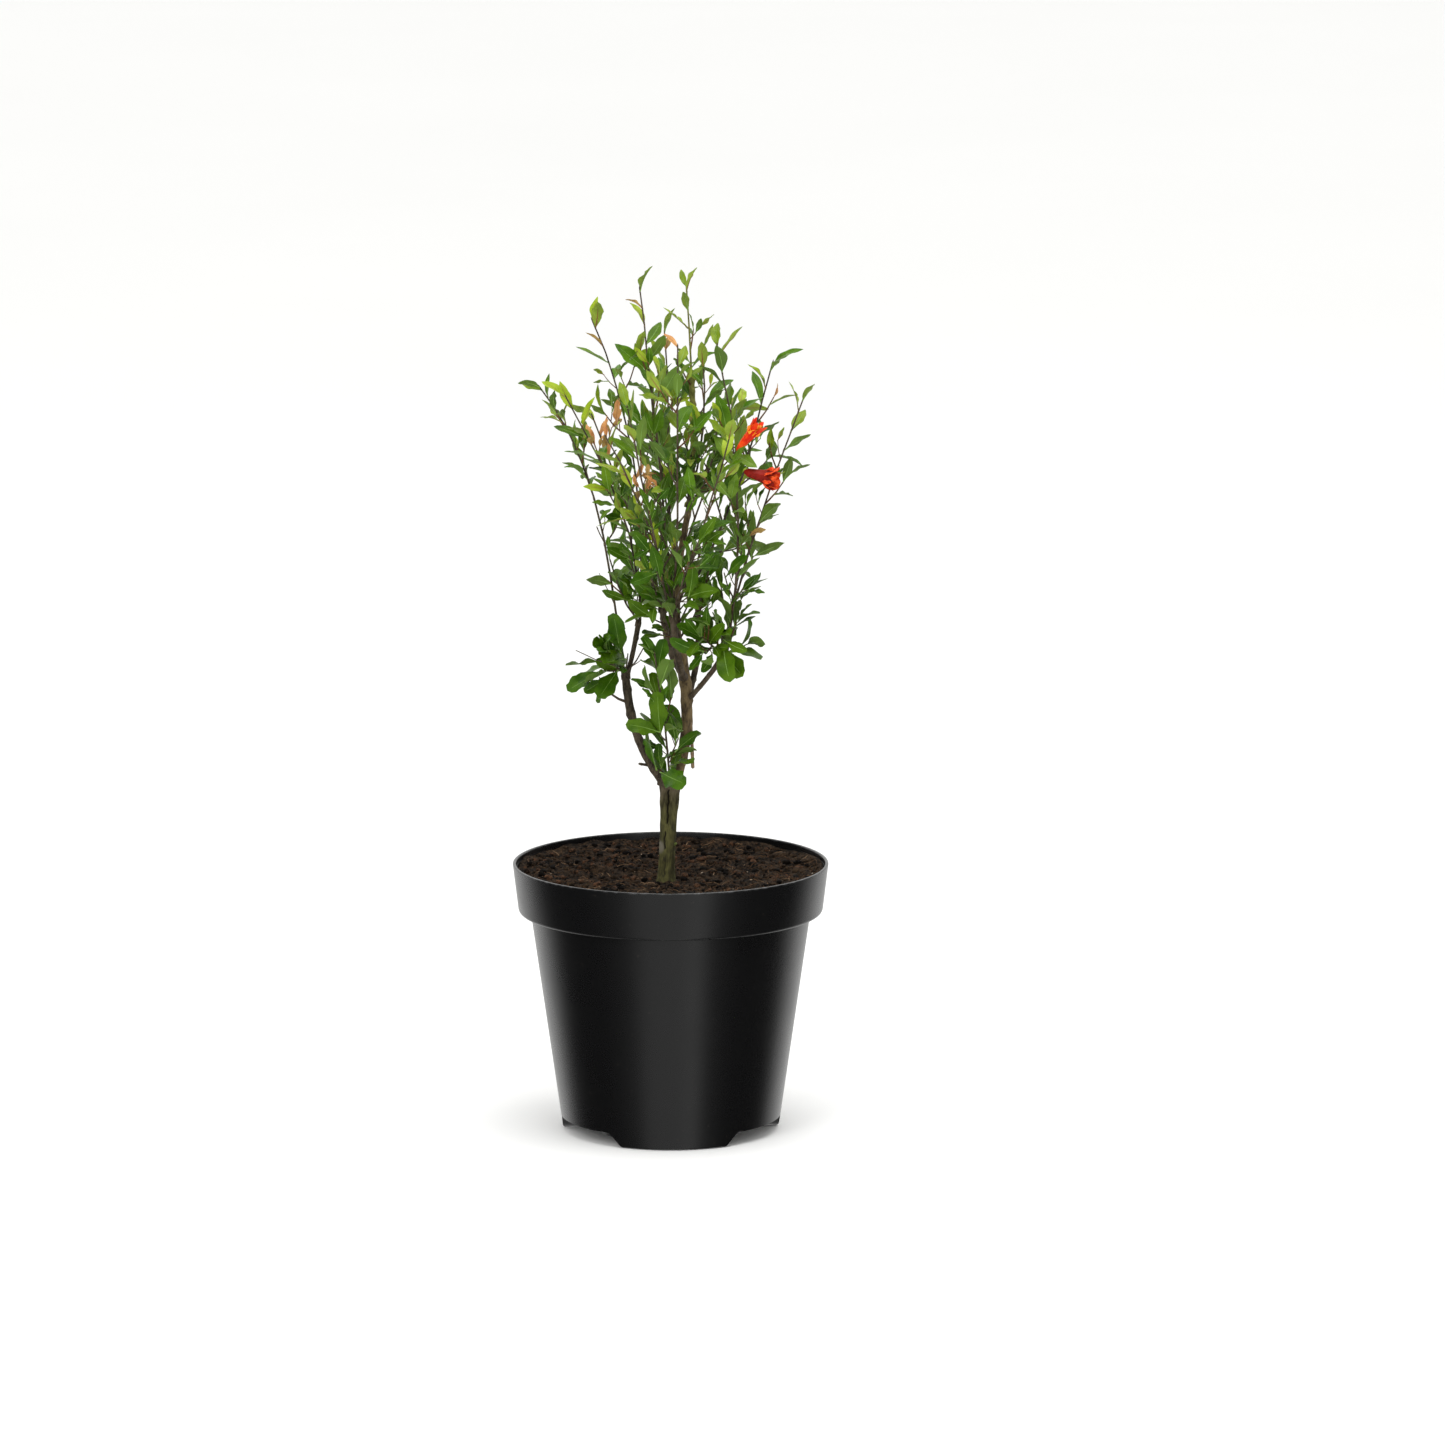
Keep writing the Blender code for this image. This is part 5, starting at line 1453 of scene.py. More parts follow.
def shape_petal(blossom, turn, reach, lean, rng):
    """A thin crumpled petal from the throat out past the lobes."""
    axis, out = blossom.axis, outward(blossom.axis, turn)
    beside = axis.cross(out)
    rows, columns = PETAL_ROWS, PETAL_COLUMNS
    start = Vector([rng.uniform(0, 60) for _ in range(3)])
    layers = []
    for skin in (-1, 1):
        for row in range(rows + 1):
            t = row / rows
            wide = blossom.mouth * (PETAL_FOOT_WIDTH + PETAL_SWELL * sin(pi * min(1, t * 0.9 + 0.04)) ** 0.8)
            for column in range(columns + 1):
                s = column / columns * 2 - 1
                place = blossom.foot + axis * (blossom.length * (PETAL_FOOT + reach * t)) + beside * (s * wide)
                place += out * (blossom.mouth * (PETAL_OUT + lean * t ** PETAL_CURL) * (1 - PETAL_CUP * s * s))
                crumple = sum(noise.noise(Vector((s * across, t * along, cut)) + start) * deep
                              for across, along, cut, deep in PETAL_CRUMPLES)
                edge = min(1, (1 - abs(s)) * 4) * min(1, (1 - t) * 5 + 0.001)
                place += (out + axis * 0.3) * crumple * (0.4 + t)
                layers.append(place + out * (skin * PETAL_SKIN * edge))
    count = (rows + 1) * (columns + 1)
    faces = []
    for skin in (0, 1):
        for row in range(rows):
            for column in range(columns):
                first = skin * count + row * (columns + 1) + column
                faces.append((first, first + 1, first + columns + 2, first + columns + 1))
    rim = list(range(columns + 1))
    rim += [row * (columns + 1) + columns for row in range(1, rows + 1)]
    rim += [rows * (columns + 1) + column for column in range(columns - 1, -1, -1)]
    rim += [row * (columns + 1) for row in range(rows - 1, 0, -1)]
    for one, other in zip(rim, rim[1:] + rim[:1]):
        faces.append((one, other, other + count, one + count))
    return layers, faces


def seat_at(run, height):
    """The place on a stem or limb at a height."""
    places = [at(run, k / SPUR_STEPS)[0] for k in range(SPUR_STEPS + 1)]
    return min(places, key=lambda place: abs(place.z - height))


def shape_stamen(blossom, rng):
    """One filament with its bead."""
    turn, spread = rng.uniform(0, tau), rng.uniform(*STAMEN_SPREAD) * blossom.mouth
    out = outward(blossom.axis, turn) * spread
    low_end = blossom.foot + blossom.axis * (blossom.length * STAMEN_FOOT) + out * STAMEN_GATHERED
    high_end = blossom.foot + blossom.axis * (blossom.length * rng.uniform(*STAMEN_TIPS)) + out
    bead, past = STAMEN_BEAD
    filament = [low_end, low_end.lerp(high_end, bead), high_end, high_end + (high_end - low_end) * past]
    return tube(filament, STAMEN_RADII, STAMEN_SIDES)


def set_blossoms(run):
    """The blossoms and the spurs that hold them on their stem."""
    for number, blossom in enumerate(BLOSSOMS):
        rng = Random(BLOSSOM_SEED + number)
        start, foot = seat_at(run, blossom.height), blossom.foot
        way = [start, start.lerp(foot, SPUR_BEND), foot, foot + blossom.axis * (SPUR_SINK * blossom.length)]
        crown.add(tube(way, [SPUR_RADIUS] * len(way), STEM_SIDES))
        crown.add(blossom_outline(blossom))
        spurs.append(way)
        calyxes.append(shape_calyx(blossom, number * CALYX_SHIFT))
        for k in range(PETALS):
            turn = tau * k / PETALS + rng.uniform(-PETAL_STRAY, PETAL_STRAY)
            reach, lean = rng.uniform(*blossom.petal_reaches), rng.uniform(*blossom.petal_leans)
            petals.append(shape_petal(blossom, turn, reach, lean, rng))
        stamens.extend([shape_stamen(blossom, rng) for _ in range(STAMENS)])


stems = make_stems()
crown = Crown(stems)
growths = [grow(mass, stems[mass.name]) for mass in MASSES]
for growth in growths:
    grow_finer(growth, stems[growth.mass.name])


def waxy(shade, light, scale):
    """A finish for a blossom's skin or petals: waxy, mottled and finely veined."""
    def surface(place):
        mottle = place.grain(scale, 4)
        veins = place.grain(900, 3, 0.6)
        return {
            "Base Color": (mottle * 0.8 + veins * 0.3).rising(0.40, 0.70).mixed(shade, light),
            "Roughness": 0.30 + 0.2 * mottle,
            "Normal": (mottle + veins * 0.5).bump(0.0003, 0.5),
        }
    return surface


def joined_piece(name, shapes, materials, nodes, sharp=radians(60)):
    """One piece from many closed shapes."""
    heap = Heap()
    for shape in shapes:
        heap.add(*shape)
    return show(name, heap.mesh(name), materials, nodes, sharp)


# Each part of the blossoms: its shapes, the name of its finish, its two colours, its mottling and its sheen
wax = {"Specular_IOR_Level": 0.18}
for name, shapes, finish_name, shade, light, scale, constants in (
    ("blossom_upper", calyxes[:1], "orange_red_wax", (0.62, 0.012, 0.002), (0.92, 0.085, 0.006), 90, wax),
    ("blossom_lower", calyxes[1:], "dark_red_wax", (0.11, 0.006, 0.004), (0.30, 0.012, 0.006), 90, wax),
    ("petals_upper", petals[:PETALS], "orange_petal", (0.92, 0.13, 0.006), (0.98, 0.42, 0.040), 160, wax),
    ("petals_lower", petals[PETALS:], "red_petal", (0.50, 0.012, 0.004), (0.92, 0.120, 0.020), 160, wax),
    ("stamens", stamens, "yellow_anther", (0.85, 0.42, 0.03), (0.95, 0.62, 0.09), 300, {}),
):
    skin_finish = finish(finish_name, waxy(shade, light, scale), **constants)
    joined_piece(name, shapes, [skin_finish], [BLOSSOM_MASS])

# Wood of the stems, twigs and young shoots, each kind joined into one piece. Old stems are dark or grey-brown, and
# the youngest shoots red-brown. The leader was once cut back: it runs on thick, green and knobbly to a blunt end,
# and a thin stem goes on from there.
STEM_WOOD_SIDES = 12
STEM_RING_STEP = 0.0016
STEM_KNOB = 0.30
TWIG_WOOD_SIDES = 7
TWIG_RING_STEP = 0.0014
SPUR_SIDES = 8
SPUR_SEED = 3
YOUNG_GIRTH = 0.0005
YOUNG_SHARE = 0.62
LEADER_STEM = "foliage_leader"
LEADER_CUT = 0.71
LEADER_PIECES = 24
LEADER_RADII = (0.0025, 0.0021)
LEADER_KNOBS = (0.10, 0.19, 0.30, 0.38, 0.47, 0.58, 0.66, 0.75, 0.83, 0.90, 0.96)
LEADER_KNOB = 0.34
LEADER_BLUNT = 0.5
LEADER_SIDES = 18
LEADER_STEP = 0.0009
LEADER_SEED = 5
SHOOT_DARK = (0.050, 0.022, 0.010)
SHOOT_RED = (0.150, 0.070, 0.026)
SHOOT_RIDGE = 0.0001
GREEN_DARK = (0.075, 0.078, 0.018)
GREEN_WOOD = (0.240, 0.235, 0.060)
GREEN_PALE = (0.33, 0.30, 0.14)
GREEN_RIDGE = 0.00016
DARK_STEMS = ("foliage_low_left", "foliage_left_outer", "foliage_left_mid", "foliage_left_upper", "foliage_cross",
              "foliage_back_left", "foliage_right_tip")
red_brown = barked("red_brown_shoot", SHOOT_DARK, SHOOT_RED, BROWN, 1.4, SHOOT_RIDGE)
green_wood = barked("green_wood", GREEN_DARK, GREEN_WOOD, GREEN_PALE, 1.2, GREEN_RIDGE)
WOODS = {"stem_wood_dark": dark_bark, "stem_wood_brown": grey_bark, "stem_wood_green": green_wood,
         "twig_wood": grey_bark, "shoot_wood": red_brown}
woods = {name: Heap() for name in WOODS}
for growth in growths:
    name = growth.mass.name
    run, radii, end_axis = stems[name]
    sunk = rooted(run[0], end_axis)
    wood = "stem_wood_dark" if name in DARK_STEMS else "stem_wood_brown"
    if name == LEADER_STEM:
        wood = "stem_wood_green"
        cut = [run[0]] + [at(run, LEADER_CUT * k / LEADER_PIECES)[0] for k in range(1, LEADER_PIECES + 1)]
        woods[wood].add(*grown_limb("leader_wood", cut, LEADER_RADII, sunk, LEADER_SIDES, LEADER_STEP, LEADER_SEED,
                                    LEADER_KNOBS, LEADER_KNOB, LEADER_BLUNT))
    woods[wood].add(*grown_limb(wood, run, radii, sunk, STEM_WOOD_SIDES, STEM_RING_STEP, name,
                                growth.nodes, STEM_KNOB))
    for twig in growth.twigs:
        young = twig.foot_radius < YOUNG_GIRTH or twig.share > YOUNG_SHARE
        wood = "shoot_wood" if young else "twig_wood"
        woods[wood].add(*grown_limb(wood, twig.run, (twig.foot_radius, twig.tip_radius), [], TWIG_WOOD_SIDES,
                                    TWIG_RING_STEP, len(woods[wood].points), twig.nodes, STEM_KNOB))
for spur in spurs:
    girths = SPUR_RADIUS, SPUR_RADIUS * SPUR_FLARE
    woods["twig_wood"].add(*grown_limb("spur", spur, girths, [], SPUR_SIDES, TWIG_RING_STEP, SPUR_SEED, [0.5]))
for name, heap in woods.items():
    show(name, heap.mesh(name), [WOODS[name]], MASS_NAMES, radians(60))

# Leaves: glossy and leathery, in opposite pairs, each a thin blade folded along a pale rib, with side veins and
# a slightly wavy edge. They are deep green low in the crown and lighter above, the highest partly grey-green with
# painted sheen in their colour, and yellow-green and copper when young.
LEAF_ROWS = 12
LEAF_COLUMNS = 6
LEAF_BLADE = 0.00016
LEAF_SLIMMING = 0.92
LEAF_POINTING = (0.98, 1.15)
LEAF_ROUNDING = 0.26
SIDE_SWEEP = 0.035
VEIN_RISE = 0.00068

# Leaves low in the crown are blunt: how much rounder, wider at the top and shorter at the tip they are, below a
# height that they fade out under, and how deep the lobes of their edge are beside those of the pointed leaves
LEAF_BLUNTING = 0.46
BLUNT_WIDEST = 0.03
BLUNT_TIP = 0.55
BLUNT_TOP = 0.43
BLUNT_FADE = 0.08
LEAF_LOBES = (0.05, 0.13)
LOBE_PACE = 9
LOBE_SLANT = 1.4

# Waves of the edge: how many along a leaf, how deep as a share of its width, how they slant and how they keep to
# the edge. Then the leaf's curl, sway to the side and twist, as shares of its length or in radians.
LEAF_WAVES = (1.3, 2.6)
WAVE_DEPTHS = (0.04, 0.15)
WAVE_SLANT = 0.9
WAVE_EDGE = 1.5
LEAF_CURLS = (-0.06, 0.20)
CURL_LATE = 2.2
LEAF_SWAY = 0.05
LEAF_TWIST = 0.45
TWIST_PIVOT = 0.25

# The rib runs under the blade, and back into the twig as a stalk. Its radius goes with the root of the length.
RIB_FOOT_RADIUS = 0.00042
RIB_TIP_RADIUS = 0.00014
RIB_LENGTH = 0.032
RIB_STALK = 0.0006
RIB_SINK = 0.55
RIB_SIDES = 5

# Shade and light of each kind of leaf. The rule deals them out by spray: by height above a level, with a stray,
# and warm or cool by chance.
LEAF_COLOURS = {
    "leaves_deep": ((0.026, 0.078, 0.002), (0.052, 0.125, 0.004)),
    "leaves_deep_warm": ((0.036, 0.088, 0.002), (0.068, 0.140, 0.004)),
    "leaves_green": ((0.042, 0.110, 0.002), (0.080, 0.178, 0.005)),
    "leaves_green_warm": ((0.058, 0.126, 0.002), (0.104, 0.194, 0.006)),
    "leaves_light": ((0.108, 0.176, 0.005), (0.190, 0.265, 0.016)),
    # The grey-green kind is painted sheen: a highlight put into the colour of the highest leaves
    "leaves_light_grey": ((0.078, 0.156, 0.008), (0.140, 0.240, 0.026)),
    "leaves_young": ((0.200, 0.290, 0.008), (0.310, 0.410, 0.030)),
    "leaves_copper": ((0.380, 0.150, 0.050), (0.560, 0.290, 0.100)),
}

LEAF_GLOSS = {"upper": 0.24, "lower": 0.44, "rib": 0.40}
LOWER_SKIN = (0.19, 0.27, 0.07)
LOWER_SKIN_SHARE = 0.35
RIB_COLOURS = {
    "leaf_ribs": ("pale_rib", (0.13, 0.25, 0.035), (0.20, 0.34, 0.06)),
    "leaf_ribs_red": ("red_rib", (0.16, 0.055, 0.020), (0.26, 0.11, 0.035)),
}
LEVEL_FOOT = 0.40
LEVEL_SPAN = 0.31
LEVEL_STRAY = 0.22
WARM_SHARE = 0.5
DEEP_LEVEL = 0.36
GREEN_LEVEL = 0.80

# Young leaves: most of one front mass, a few sprays by chance, and most tips of the upper crown
YOUNG_MASS = "foliage_front_young"
YOUNG_MASS_FOOT = 0.30
YOUNG_FOOT = 0.47
YOUNG_SPRAYS = 0.05
YOUNG_TIP_FROM = 0.86
YOUNG_TIPS = 0.75
YOUNG_BRIGHT = 0.45

# Copper leaves come in a few sprays: how far right of the middle and how high each shows from the usual view,
# which looks down by a slight angle, and how far it reaches
CAMERA_RISE = radians(10.7)
COPPER_SPRAYS = ((-0.097, 0.594), (-0.053, 0.534), (-0.043, 0.548), (-0.036, 0.640), (-0.059, 0.613),
                 (0.003, 0.606), (0.074, 0.462), (0.101, 0.536), (0.077, 0.577), (-0.020, 0.500))
COPPER_REACH = 0.0095

# Sizes beside the rule's: a few leaves and the copper ones are small, the tips smaller, and the crown's leaves
# larger, so that their count fills the crown
SMALL_SHARE = 0.10
SMALL_SIZE = 0.72
TIP_FROM = 0.7
TIP_SHRINK = 0.10
CROWN_FOOT = 0.47
CROWN_FADE = 0.08
CROWN_GROWTH = 0.20
LOW_SHRINK = 0.07
rows = np.linspace(0, 1, LEAF_ROWS + 1)[1:-1]
columns = np.linspace(-1, 1, LEAF_COLUMNS + 1)
row_grid, column_grid = np.meshgrid(rows, columns, indexing="ij")


def blade(leaf, rng):
    """Points of a leaf: the upper skin's grid, the lower skin's inner points, and the root and tip."""
    across = leaf.along.cross(leaf.face).normalized()
    face = across.cross(leaf.along).normalized()
    blunt = eased((BLUNT_TOP - leaf.root.z) / BLUNT_FADE)
    along, across, face, root = (np.array(axis) for axis in (leaf.along, across, face, leaf.root))
    swell = np.sin(pi * row_grid ** (log(0.5) / log(leaf.widest + BLUNT_WIDEST * blunt)))
    power = rng.uniform(*LEAF_POINTING) - (LEAF_ROUNDING + LEAF_BLUNTING * blunt) * row_grid
    half = leaf.width / 2 * LEAF_SLIMMING * swell ** power
    phase, waves = rng.uniform(0, tau), rng.uniform(*LEAF_WAVES)
    out = np.abs(column_grid)
    ripple = np.sin(waves * tau * row_grid + phase + column_grid * WAVE_SLANT) * out ** WAVE_EDGE
    ripple *= rng.uniform(*WAVE_DEPTHS) * leaf.width
    forward = leaf.length * (row_grid + SIDE_SWEEP * out * (1 - row_grid))
    veins = np.where(np.arange(len(rows))[:, None] % 2, 1, -1) * (1 - out) * out
    cupped = leaf.fold * out * half + ripple * swell + veins * VEIN_RISE
    spine_rise = swell * leaf.bend * leaf.length - leaf.length * rng.uniform(*LEAF_CURLS) * row_grid ** CURL_LATE
    spine_sway = leaf.length * rng.uniform(-LEAF_SWAY, LEAF_SWAY) * np.sin(pi * row_grid)
    turned_by = rng.gauss(0, LEAF_TWIST) * (row_grid - TWIST_PIVOT)
    skin = LEAF_BLADE * (1 - column_grid ** 2) ** 0.5
    lobes = np.sin(waves * LOBE_PACE * row_grid + phase + LOBE_SLANT * column_grid)
    sideways = column_grid * half * (1 + between(*LEAF_LOBES, blunt) * lobes)

    def placed(lift):
        """The grid's points, with each row turned about the rib."""
        height = spine_rise + (cupped + lift) * np.cos(turned_by) + sideways * np.sin(turned_by)
        aside = spine_sway + sideways * np.cos(turned_by) - (cupped + lift) * np.sin(turned_by)
        return root + forward[..., None] * along + aside[..., None] * across + height[..., None] * face

    upper = placed(skin).reshape(-1, 3)
    lower = placed(-skin)[:, 1:-1].reshape(-1, 3)
    middle = placed(skin * 0)[:, LEAF_COLUMNS // 2]
    tip = middle[-1] + (middle[-1] - middle[-2]) * (1 - BLUNT_TIP * blunt)
    return np.concatenate([upper, lower, [root], [tip]])


def blade_faces():
    """The faces of a leaf's upper and lower skin, with the same edge for both."""
    wide, inner = LEAF_COLUMNS + 1, LEAF_COLUMNS - 1
    count = len(rows)
    low_first = count * wide
    root, tip = low_first + count * inner, low_first + count * inner + 1

    def corner(skin, row, column):
        """A skin's point, which both skins share at the edge."""
        if skin == 0 or column in (0, LEAF_COLUMNS):
            return row * wide + column
        return low_first + row * inner + column - 1

    skins = []
    for skin in (0, 1):
        faces = []
        for column in range(LEAF_COLUMNS):
            for row in range(count - 1):
                faces.append((corner(skin, row, column), corner(skin, row, column + 1),
                              corner(skin, row + 1, column + 1), corner(skin, row + 1, column)))
            faces.append((root, corner(skin, 0, column + 1), corner(skin, 0, column)))
            faces.append((tip, corner(skin, count - 1, column), corner(skin, count - 1, column + 1)))
        skins.append(faces)
    return skins


def leathery(shade, light, gloss):
    """A finish for leaves: glossy, with faint mottling and fine netted veins."""
    def surface(place):
        mottle = place.grain(75, 4)
        veins = 1 - place.cells(850, "DISTANCE_TO_EDGE").rising(0.0, 0.12)
        share = (mottle + 0.10 * veins).rising(0.36, 0.66)
        return {
            "Base Color": share.mixed(shade, light),
            "Roughness": gloss + 0.16 * mottle,
            "Normal": (mottle * 2 + veins * 0.35).bump(0.00030, 0.45),
        }
    return surface


def paler(colour):
    """The colour of the lower skin."""
    return tuple(between(part, pale, LOWER_SKIN_SHARE) for part, pale in zip(colour, LOWER_SKIN))


def dealt_tint(mass_name, height, share, luck):
    """The kind of leaf that a spray gets, by its height, its mass and chance."""
    level = (height - LEVEL_FOOT) / LEVEL_SPAN + luck.gauss(0, LEVEL_STRAY)
    warm = luck.random() < WARM_SHARE
    if mass_name == YOUNG_MASS and share > YOUNG_MASS_FOOT or luck.random() < YOUNG_SPRAYS and height > YOUNG_FOOT:
        return "leaves_young"
    if level < DEEP_LEVEL:
        return "leaves_deep_warm" if warm else "leaves_deep"
    if level < GREEN_LEVEL:
        return "leaves_green_warm" if warm else "leaves_green"
    # The highest sprays are light green, or grey-green with painted sheen
    return "leaves_light_grey" if warm else "leaves_light"


def rib_of(leaf, points):
    """The rib and stalk under a blade, as a thin tube."""
    spine = points[:len(rows) * (LEAF_COLUMNS + 1)].reshape(len(rows), -1, 3)[:-1, LEAF_COLUMNS // 2]
    run = [leaf.root - leaf.along * RIB_STALK] + [Vector(point) for point in spine]
    foot_radius = RIB_FOOT_RADIUS * (leaf.length / RIB_LENGTH) ** 0.5
    girths = [foot_radius * (1 - k / len(run)) + RIB_TIP_RADIUS for k in range(len(run))]
    face = leaf.face.normalized()
    run = run[:1] + [point - face * (girth * RIB_SINK) for point, girth in zip(run[1:], girths[1:])]
    return tube(run, girths, RIB_SIDES)


sheen = {"Subsurface_Weight": 0.12, "Subsurface_Radius": (0.0012, 0.0020, 0.0005), "Specular_IOR_Level": 0.16}
heaps = {name: Heap() for name in LEAF_COLOURS}
ribs = {name: [] for name in RIB_COLOURS}
upper_faces, lower_faces = blade_faces()
for growth in growths:
    name = growth.mass.name
    luck = Random(f"{SEED} {name} colours")
    tints = {}
    for leaf, share, spray in growth.leaves:
        height = leaf.root.z
        if spray not in tints:
            tints[spray] = dealt_tint(name, height, share, luck)
        # The leaf between the blossoms gets the grey-green with painted sheen
        tint = tints[spray] if spray != BLOSSOM_LEAF_SPRAY else "leaves_light_grey"
        middle = leaf.root + leaf.along * (leaf.length * 0.5)
        seen = middle.x, middle.z + middle.y * sin(CAMERA_RISE)
        copper = min(apart(*seen, spot) for spot in COPPER_SPRAYS) < COPPER_REACH
        size = SMALL_SIZE if luck.random() < SMALL_SHARE or copper else 1
        size *= 1 - TIP_SHRINK * eased((share - TIP_FROM) / (1 - TIP_FROM))
        size *= between(1 - LOW_SHRINK, 1 + CROWN_GROWTH, eased((height - CROWN_FOOT) / CROWN_FADE))
        if copper:
            tint = "leaves_copper"
        elif share > YOUNG_TIP_FROM and height > YOUNG_FOOT and luck.random() < YOUNG_TIPS:
            tint = "leaves_young" if luck.random() < YOUNG_BRIGHT else "leaves_light"
        leaf = leaf._replace(length=leaf.length * size, width=leaf.width * size)
        points = blade(leaf, luck)
        heaps[tint].add(points, upper_faces + lower_faces)
        rib = "leaf_ribs_red" if tint in ("leaves_copper", "leaves_young") else "leaf_ribs"
        ribs[rib].append(rib_of(leaf, points))
for name, heap in heaps.items():
    shade, light = LEAF_COLOURS[name]
    skins = [
        finish(name + "_upper", leathery(shade, light, LEAF_GLOSS["upper"]), **sheen),
        finish(name + "_lower", leathery(paler(shade), paler(light), LEAF_GLOSS["lower"]), **sheen),
    ]
    mesh = heap.mesh(name)
    show(name, mesh, skins, MASS_NAMES, radians(75))
    skin_of_faces = [0] * len(upper_faces) + [1] * len(lower_faces)
    marks = np.tile(skin_of_faces, len(mesh.polygons) // len(skin_of_faces))
    mesh.polygons.foreach_set("material_index", marks.astype(np.int32))
for name, (finish_name, shade, light) in RIB_COLOURS.items():
    rib_finish = finish(finish_name, leathery(shade, light, LEAF_GLOSS["rib"]))
    joined_piece(name, ribs[name], [rib_finish], MASS_NAMES)

# Stubs and scars: dead twigs and pruned stubs low on the left, a dark stub beside the fork, a strip of bark that
# has peeled away from the leader's foot, and a live bud on the trunk. All are seated in the wood that bore them.
STUB_SIDES = 14
STUB_STEP = 0.0007
STUB_SEED = 40
STUB_NODES = (0.5, 0.8)
STUB_KNOB = 0.25
PEEL_DARK = (0.085, 0.052, 0.030)
PEEL_LIGHT = (0.32, 0.225, 0.135)
BUD_DARK = (0.050, 0.062, 0.016)
BUD_GREEN = (0.125, 0.150, 0.040)

# Each stub's seat is at a height on its carrier. Its run goes on from there by offsets to the right, back and up.
# All are in millimetres.
Stub = namedtuple("Stub", "piece carrier height offsets radii blunt")
STUBS = (
    Stub("pruned_stubs", "bough_left", 285, ((-5, 0, 1), (-11.2, -1, 2.2)), (1.15, 0.95), 0.4),
    Stub("pruned_stubs", "bough_left", 352, ((-6.5, -10, 25), (-11.8, -14, 38)), (2.0, 1.7), 0.4),
    Stub("dead_twigs", "bough_left", 333, ((-8, -3, 3.5), (-16, -6, 9.6), (-22.8, -9, 22)), (1.25, 0.38), 0.9),
    Stub("dead_twigs", "bough_left", 333, ((-8, -3, 3.5), (-15.6, -6, 9.4), (-13.7, -9, 15)), (0.80, 0.32), 0.9),
    Stub("dead_twigs", "bough_left", 320, ((7, -3, -2), (16, -5, -6)), (0.45, 0.25), 0.9),
    Stub("dead_twigs", "foliage_left_outer", 407, ((-5, 0, 11), (-12, -1, 25)), (0.45, 0.25), 0.9),
    Stub("dead_twigs", "foliage_left_outer", 452, ((-4, -1, 8), (-6, -1, 13)), (0.50, 0.40), 0.5),
    Stub("dead_twigs", "foliage_low_left", 364, ((-14, -3, 5), (-30, -5, 13)), (0.45, 0.30), 0.9),
    Stub("dead_twigs", "foliage_low_centre", 320, ((3, -1, 9), (7, -2, 14)), (0.45, 0.35), 0.5),
    Stub("peeled_bark", "bough_leader", 322, ((3, -1.8, -3), (4, -2.4, -20), (4.6, -2.6, -39)), (1.2, 1.35), 0.3),
    Stub("trunk_bud", "trunk", 225, ((4.6, -1.5, 0.5), (7.2, -2.4, 2.2)), (1.45, 0.9), 1.4),
)
stub_finishes = {
    "pruned_stubs": dark_bark,
    "dead_twigs": grey_bark,
    "peeled_bark": barked("peeled_bark", PEEL_DARK, PEEL_LIGHT, GREY_BARK),
    "trunk_bud": barked("green_bud", BUD_DARK, BUD_GREEN, BROWN),
}
stub_shapes = {name: [] for name in stub_finishes}
for number, stub in enumerate(STUBS):
    run = (stems if stub.carrier in stems else runs)[stub.carrier][0]
    seat = seat_at(run, stub.height * MM)
    way = [seat] + [seat + Vector(offset) * MM for offset in stub.offsets]
    girths = [radius * MM for radius in stub.radii]
    shape = grown_limb(stub.piece, way, girths, [], STUB_SIDES, STUB_STEP, STUB_SEED + number, STUB_NODES,
                       STUB_KNOB, stub.blunt)
    stub_shapes[stub.piece].append(shape)
for name, shapes in stub_shapes.items():
    carriers = sorted({stub.carrier for stub in STUBS if stub.piece == name})
    joined_piece(name, shapes, [stub_finishes[name]], carriers)

# Floor, lights and camera: a pale floor under soft light from all round, in a room whose broad front light runs
# down the pot as a soft band, and a long lens looking slightly down.
AIM = Vector((0.0394, 0.0, 0.314))
CAMERA_AWAY = 8.0
LENS = 263
FLOOR_HALF = 40.0
FLOOR_SHADE = (0.945, 0.945, 0.935)
FLOOR_LIGHT = (0.975, 0.975, 0.968)
WORLD_LIGHT = 1.03
ROOM_DARK = 0.03
FRONT_GLOW = 0.49
WIDE_GLOW = 0.12
STRIP_GLOW = 0.34
STRIP_TURN = 0.42
OVERHEAD_GLOW = 0.35


def pale_ground(place):
    """A matt, nearly white floor with broad faint mottling."""
    mottle = place.grain(1.5, 4)
    return {
        "Base Color": mottle.mixed(FLOOR_SHADE, FLOOR_LIGHT),
        "Roughness": 0.75 + 0.2 * mottle,
    }


floor_mesh = bpy.data.meshes.new("floor")
floor_corners = [(x * FLOOR_HALF, y * FLOOR_HALF, 0) for x, y in ((-1, -1), (1, -1), (1, 1), (-1, 1))]
floor_mesh.from_pydata(floor_corners, [], [(0, 1, 2, 3)])
floor_mesh.materials.append(finish("pale_floor", pale_ground))
floor = bpy.data.objects.new("floor", floor_mesh)
bpy.context.scene.collection.objects.link(floor)
floor.visible_glossy = False


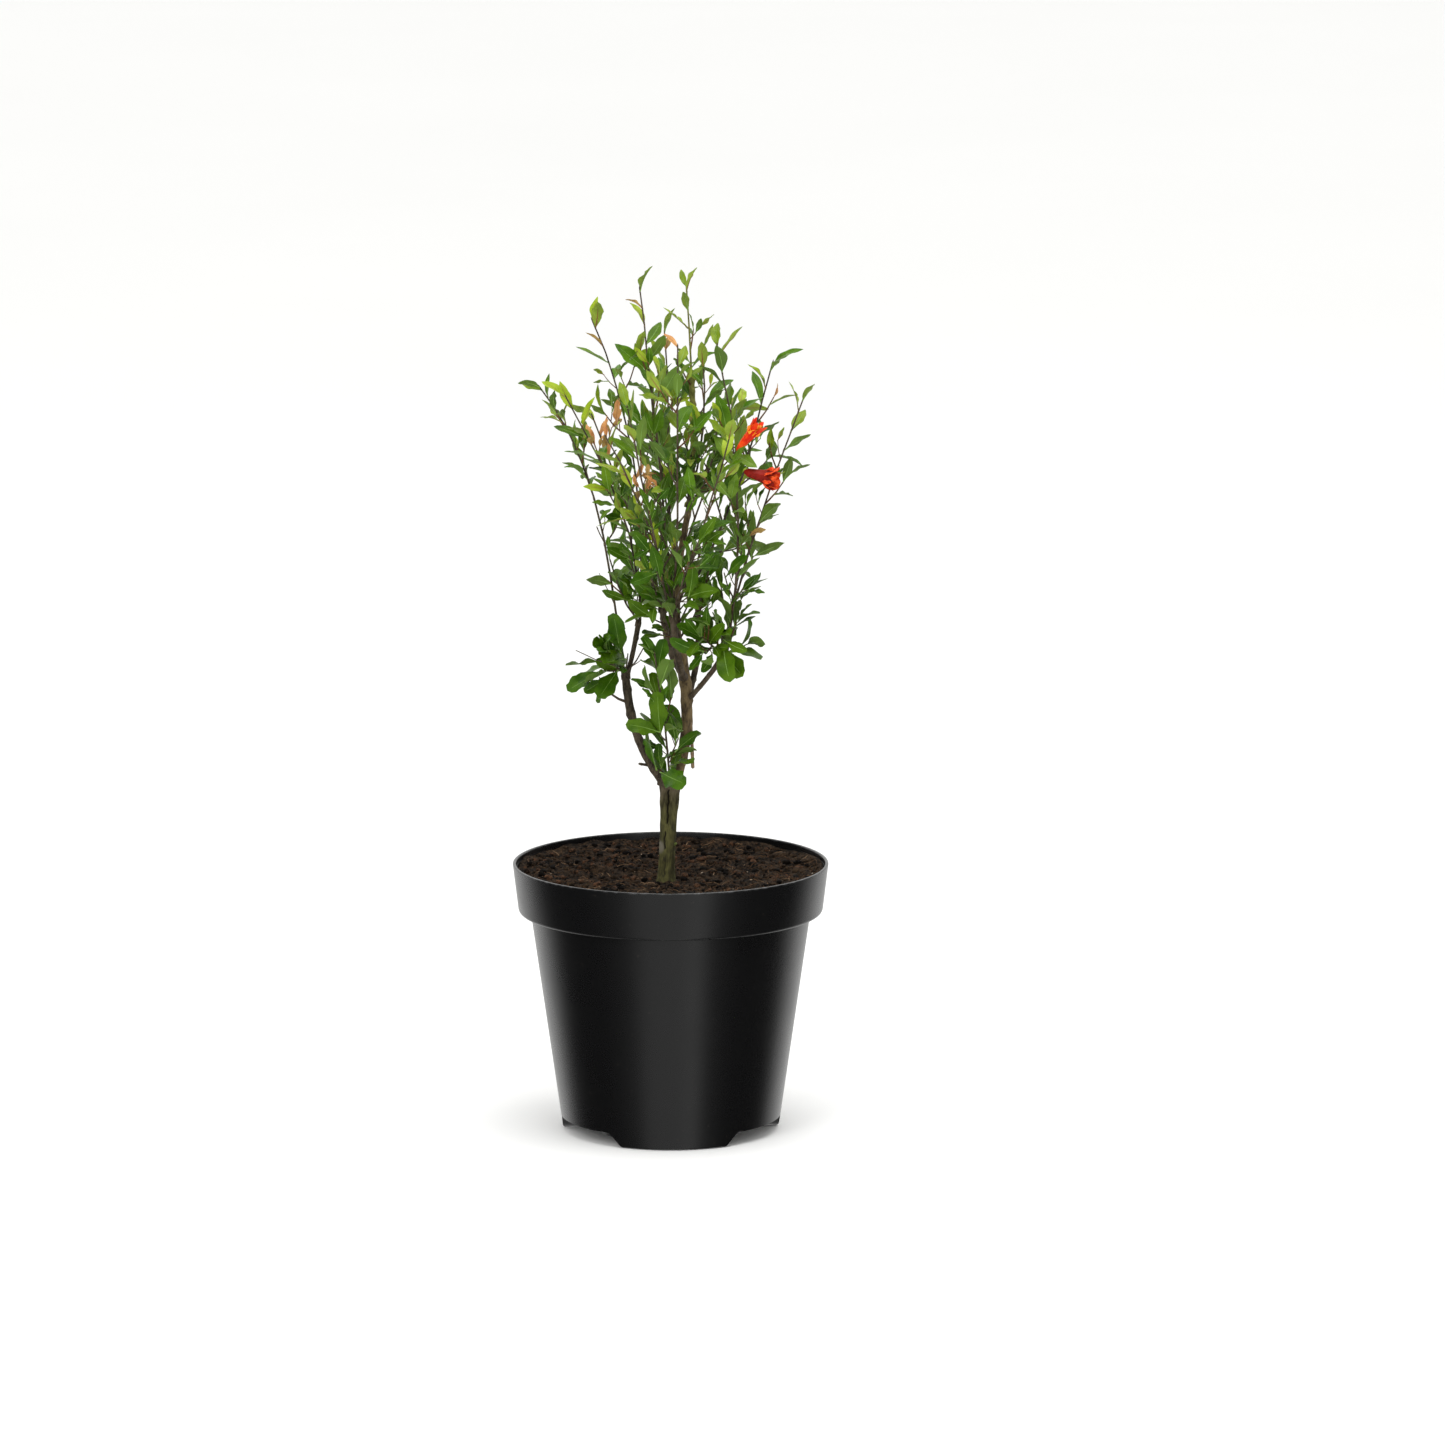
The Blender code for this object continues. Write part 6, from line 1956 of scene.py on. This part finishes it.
def studio(way):
    """How bright the room looks in a reflection, round from the camera's side: a broad soft front with a
    brighter strip to its right, dark sides and a white backdrop."""
    right = way.node("ShaderNodeSeparateXYZ", (), {0: way}, "X")
    back = way.node("ShaderNodeSeparateXYZ", (), {0: way}, "Y")
    turn = right.math("ARCTAN2", right, 0 - back)
    away = turn.math("ABSOLUTE", turn)
    beside = turn.math("ABSOLUTE", turn - STRIP_TURN)
    front = 1 - away.rising(0.40, 0.66)
    wide = 1 - away.rising(0.60, 1.20)
    strip = 1 - beside.rising(0.08, 0.20)
    backdrop = away.rising(1.82, 2.50)
    overhead = way.height().rising(0.30, 0.95)
    lit = FRONT_GLOW * front + WIDE_GLOW * wide + STRIP_GLOW * strip
    return ROOM_DARK + lit + backdrop + OVERHEAD_GLOW * overhead


world = bpy.data.worlds.new("studio")
world.use_nodes = True
background = world.node_tree.nodes["Background"]
background.inputs["Color"].default_value = (1.0, 1.0, 0.99, 1)
sky = Wire(world.node_tree)
mirrored = sky.node("ShaderNodeLightPath", output="Is Glossy Ray")
room_light = studio(sky.node("ShaderNodeTexCoord", output="Generated"))
strength = WORLD_LIGHT * (1 - mirrored) + room_light * mirrored
world.node_tree.links.new(strength.socket, background.inputs["Strength"])
world.cycles.sampling_method = "NONE"
bpy.context.scene.world = world


def soft_box(name, place, target, size, power):
    """A rectangular lamp at a place, aimed at a target."""
    lamp = bpy.data.lights.new(name, "AREA")
    lamp.shape = "RECTANGLE"
    lamp.size, lamp.size_y = size
    lamp.energy = power
    holder = bpy.data.objects.new(name, lamp)
    holder.location = place
    holder.rotation_mode = "QUATERNION"
    holder.rotation_quaternion = (Vector(target) - Vector(place)).to_track_quat("-Z", "Y")
    bpy.context.scene.collection.objects.link(holder)
    return holder


soft_box("box_left", (-1.10, -1.9, 1.30), (0, 0, 0.35), (0.9, 1.2), 14).visible_glossy = False
soft_box("overhead", (0.3, -0.5, 2.4), (0, 0, 0.30), (1.6, 1.6), 26)

lens = bpy.data.cameras.new("camera")
lens.lens = LENS
lens.sensor_width = 36
lens.clip_end = 200
camera = bpy.data.objects.new("camera", lens)
camera.location = AIM + Vector((0, -cos(CAMERA_RISE), sin(CAMERA_RISE))) * CAMERA_AWAY
camera.rotation_mode = "QUATERNION"
camera.rotation_quaternion = (AIM - camera.location).to_track_quat("-Z", "Y")
bpy.context.scene.collection.objects.link(camera)
bpy.context.scene.camera = camera
bpy.context.scene.view_settings.view_transform = "Standard"
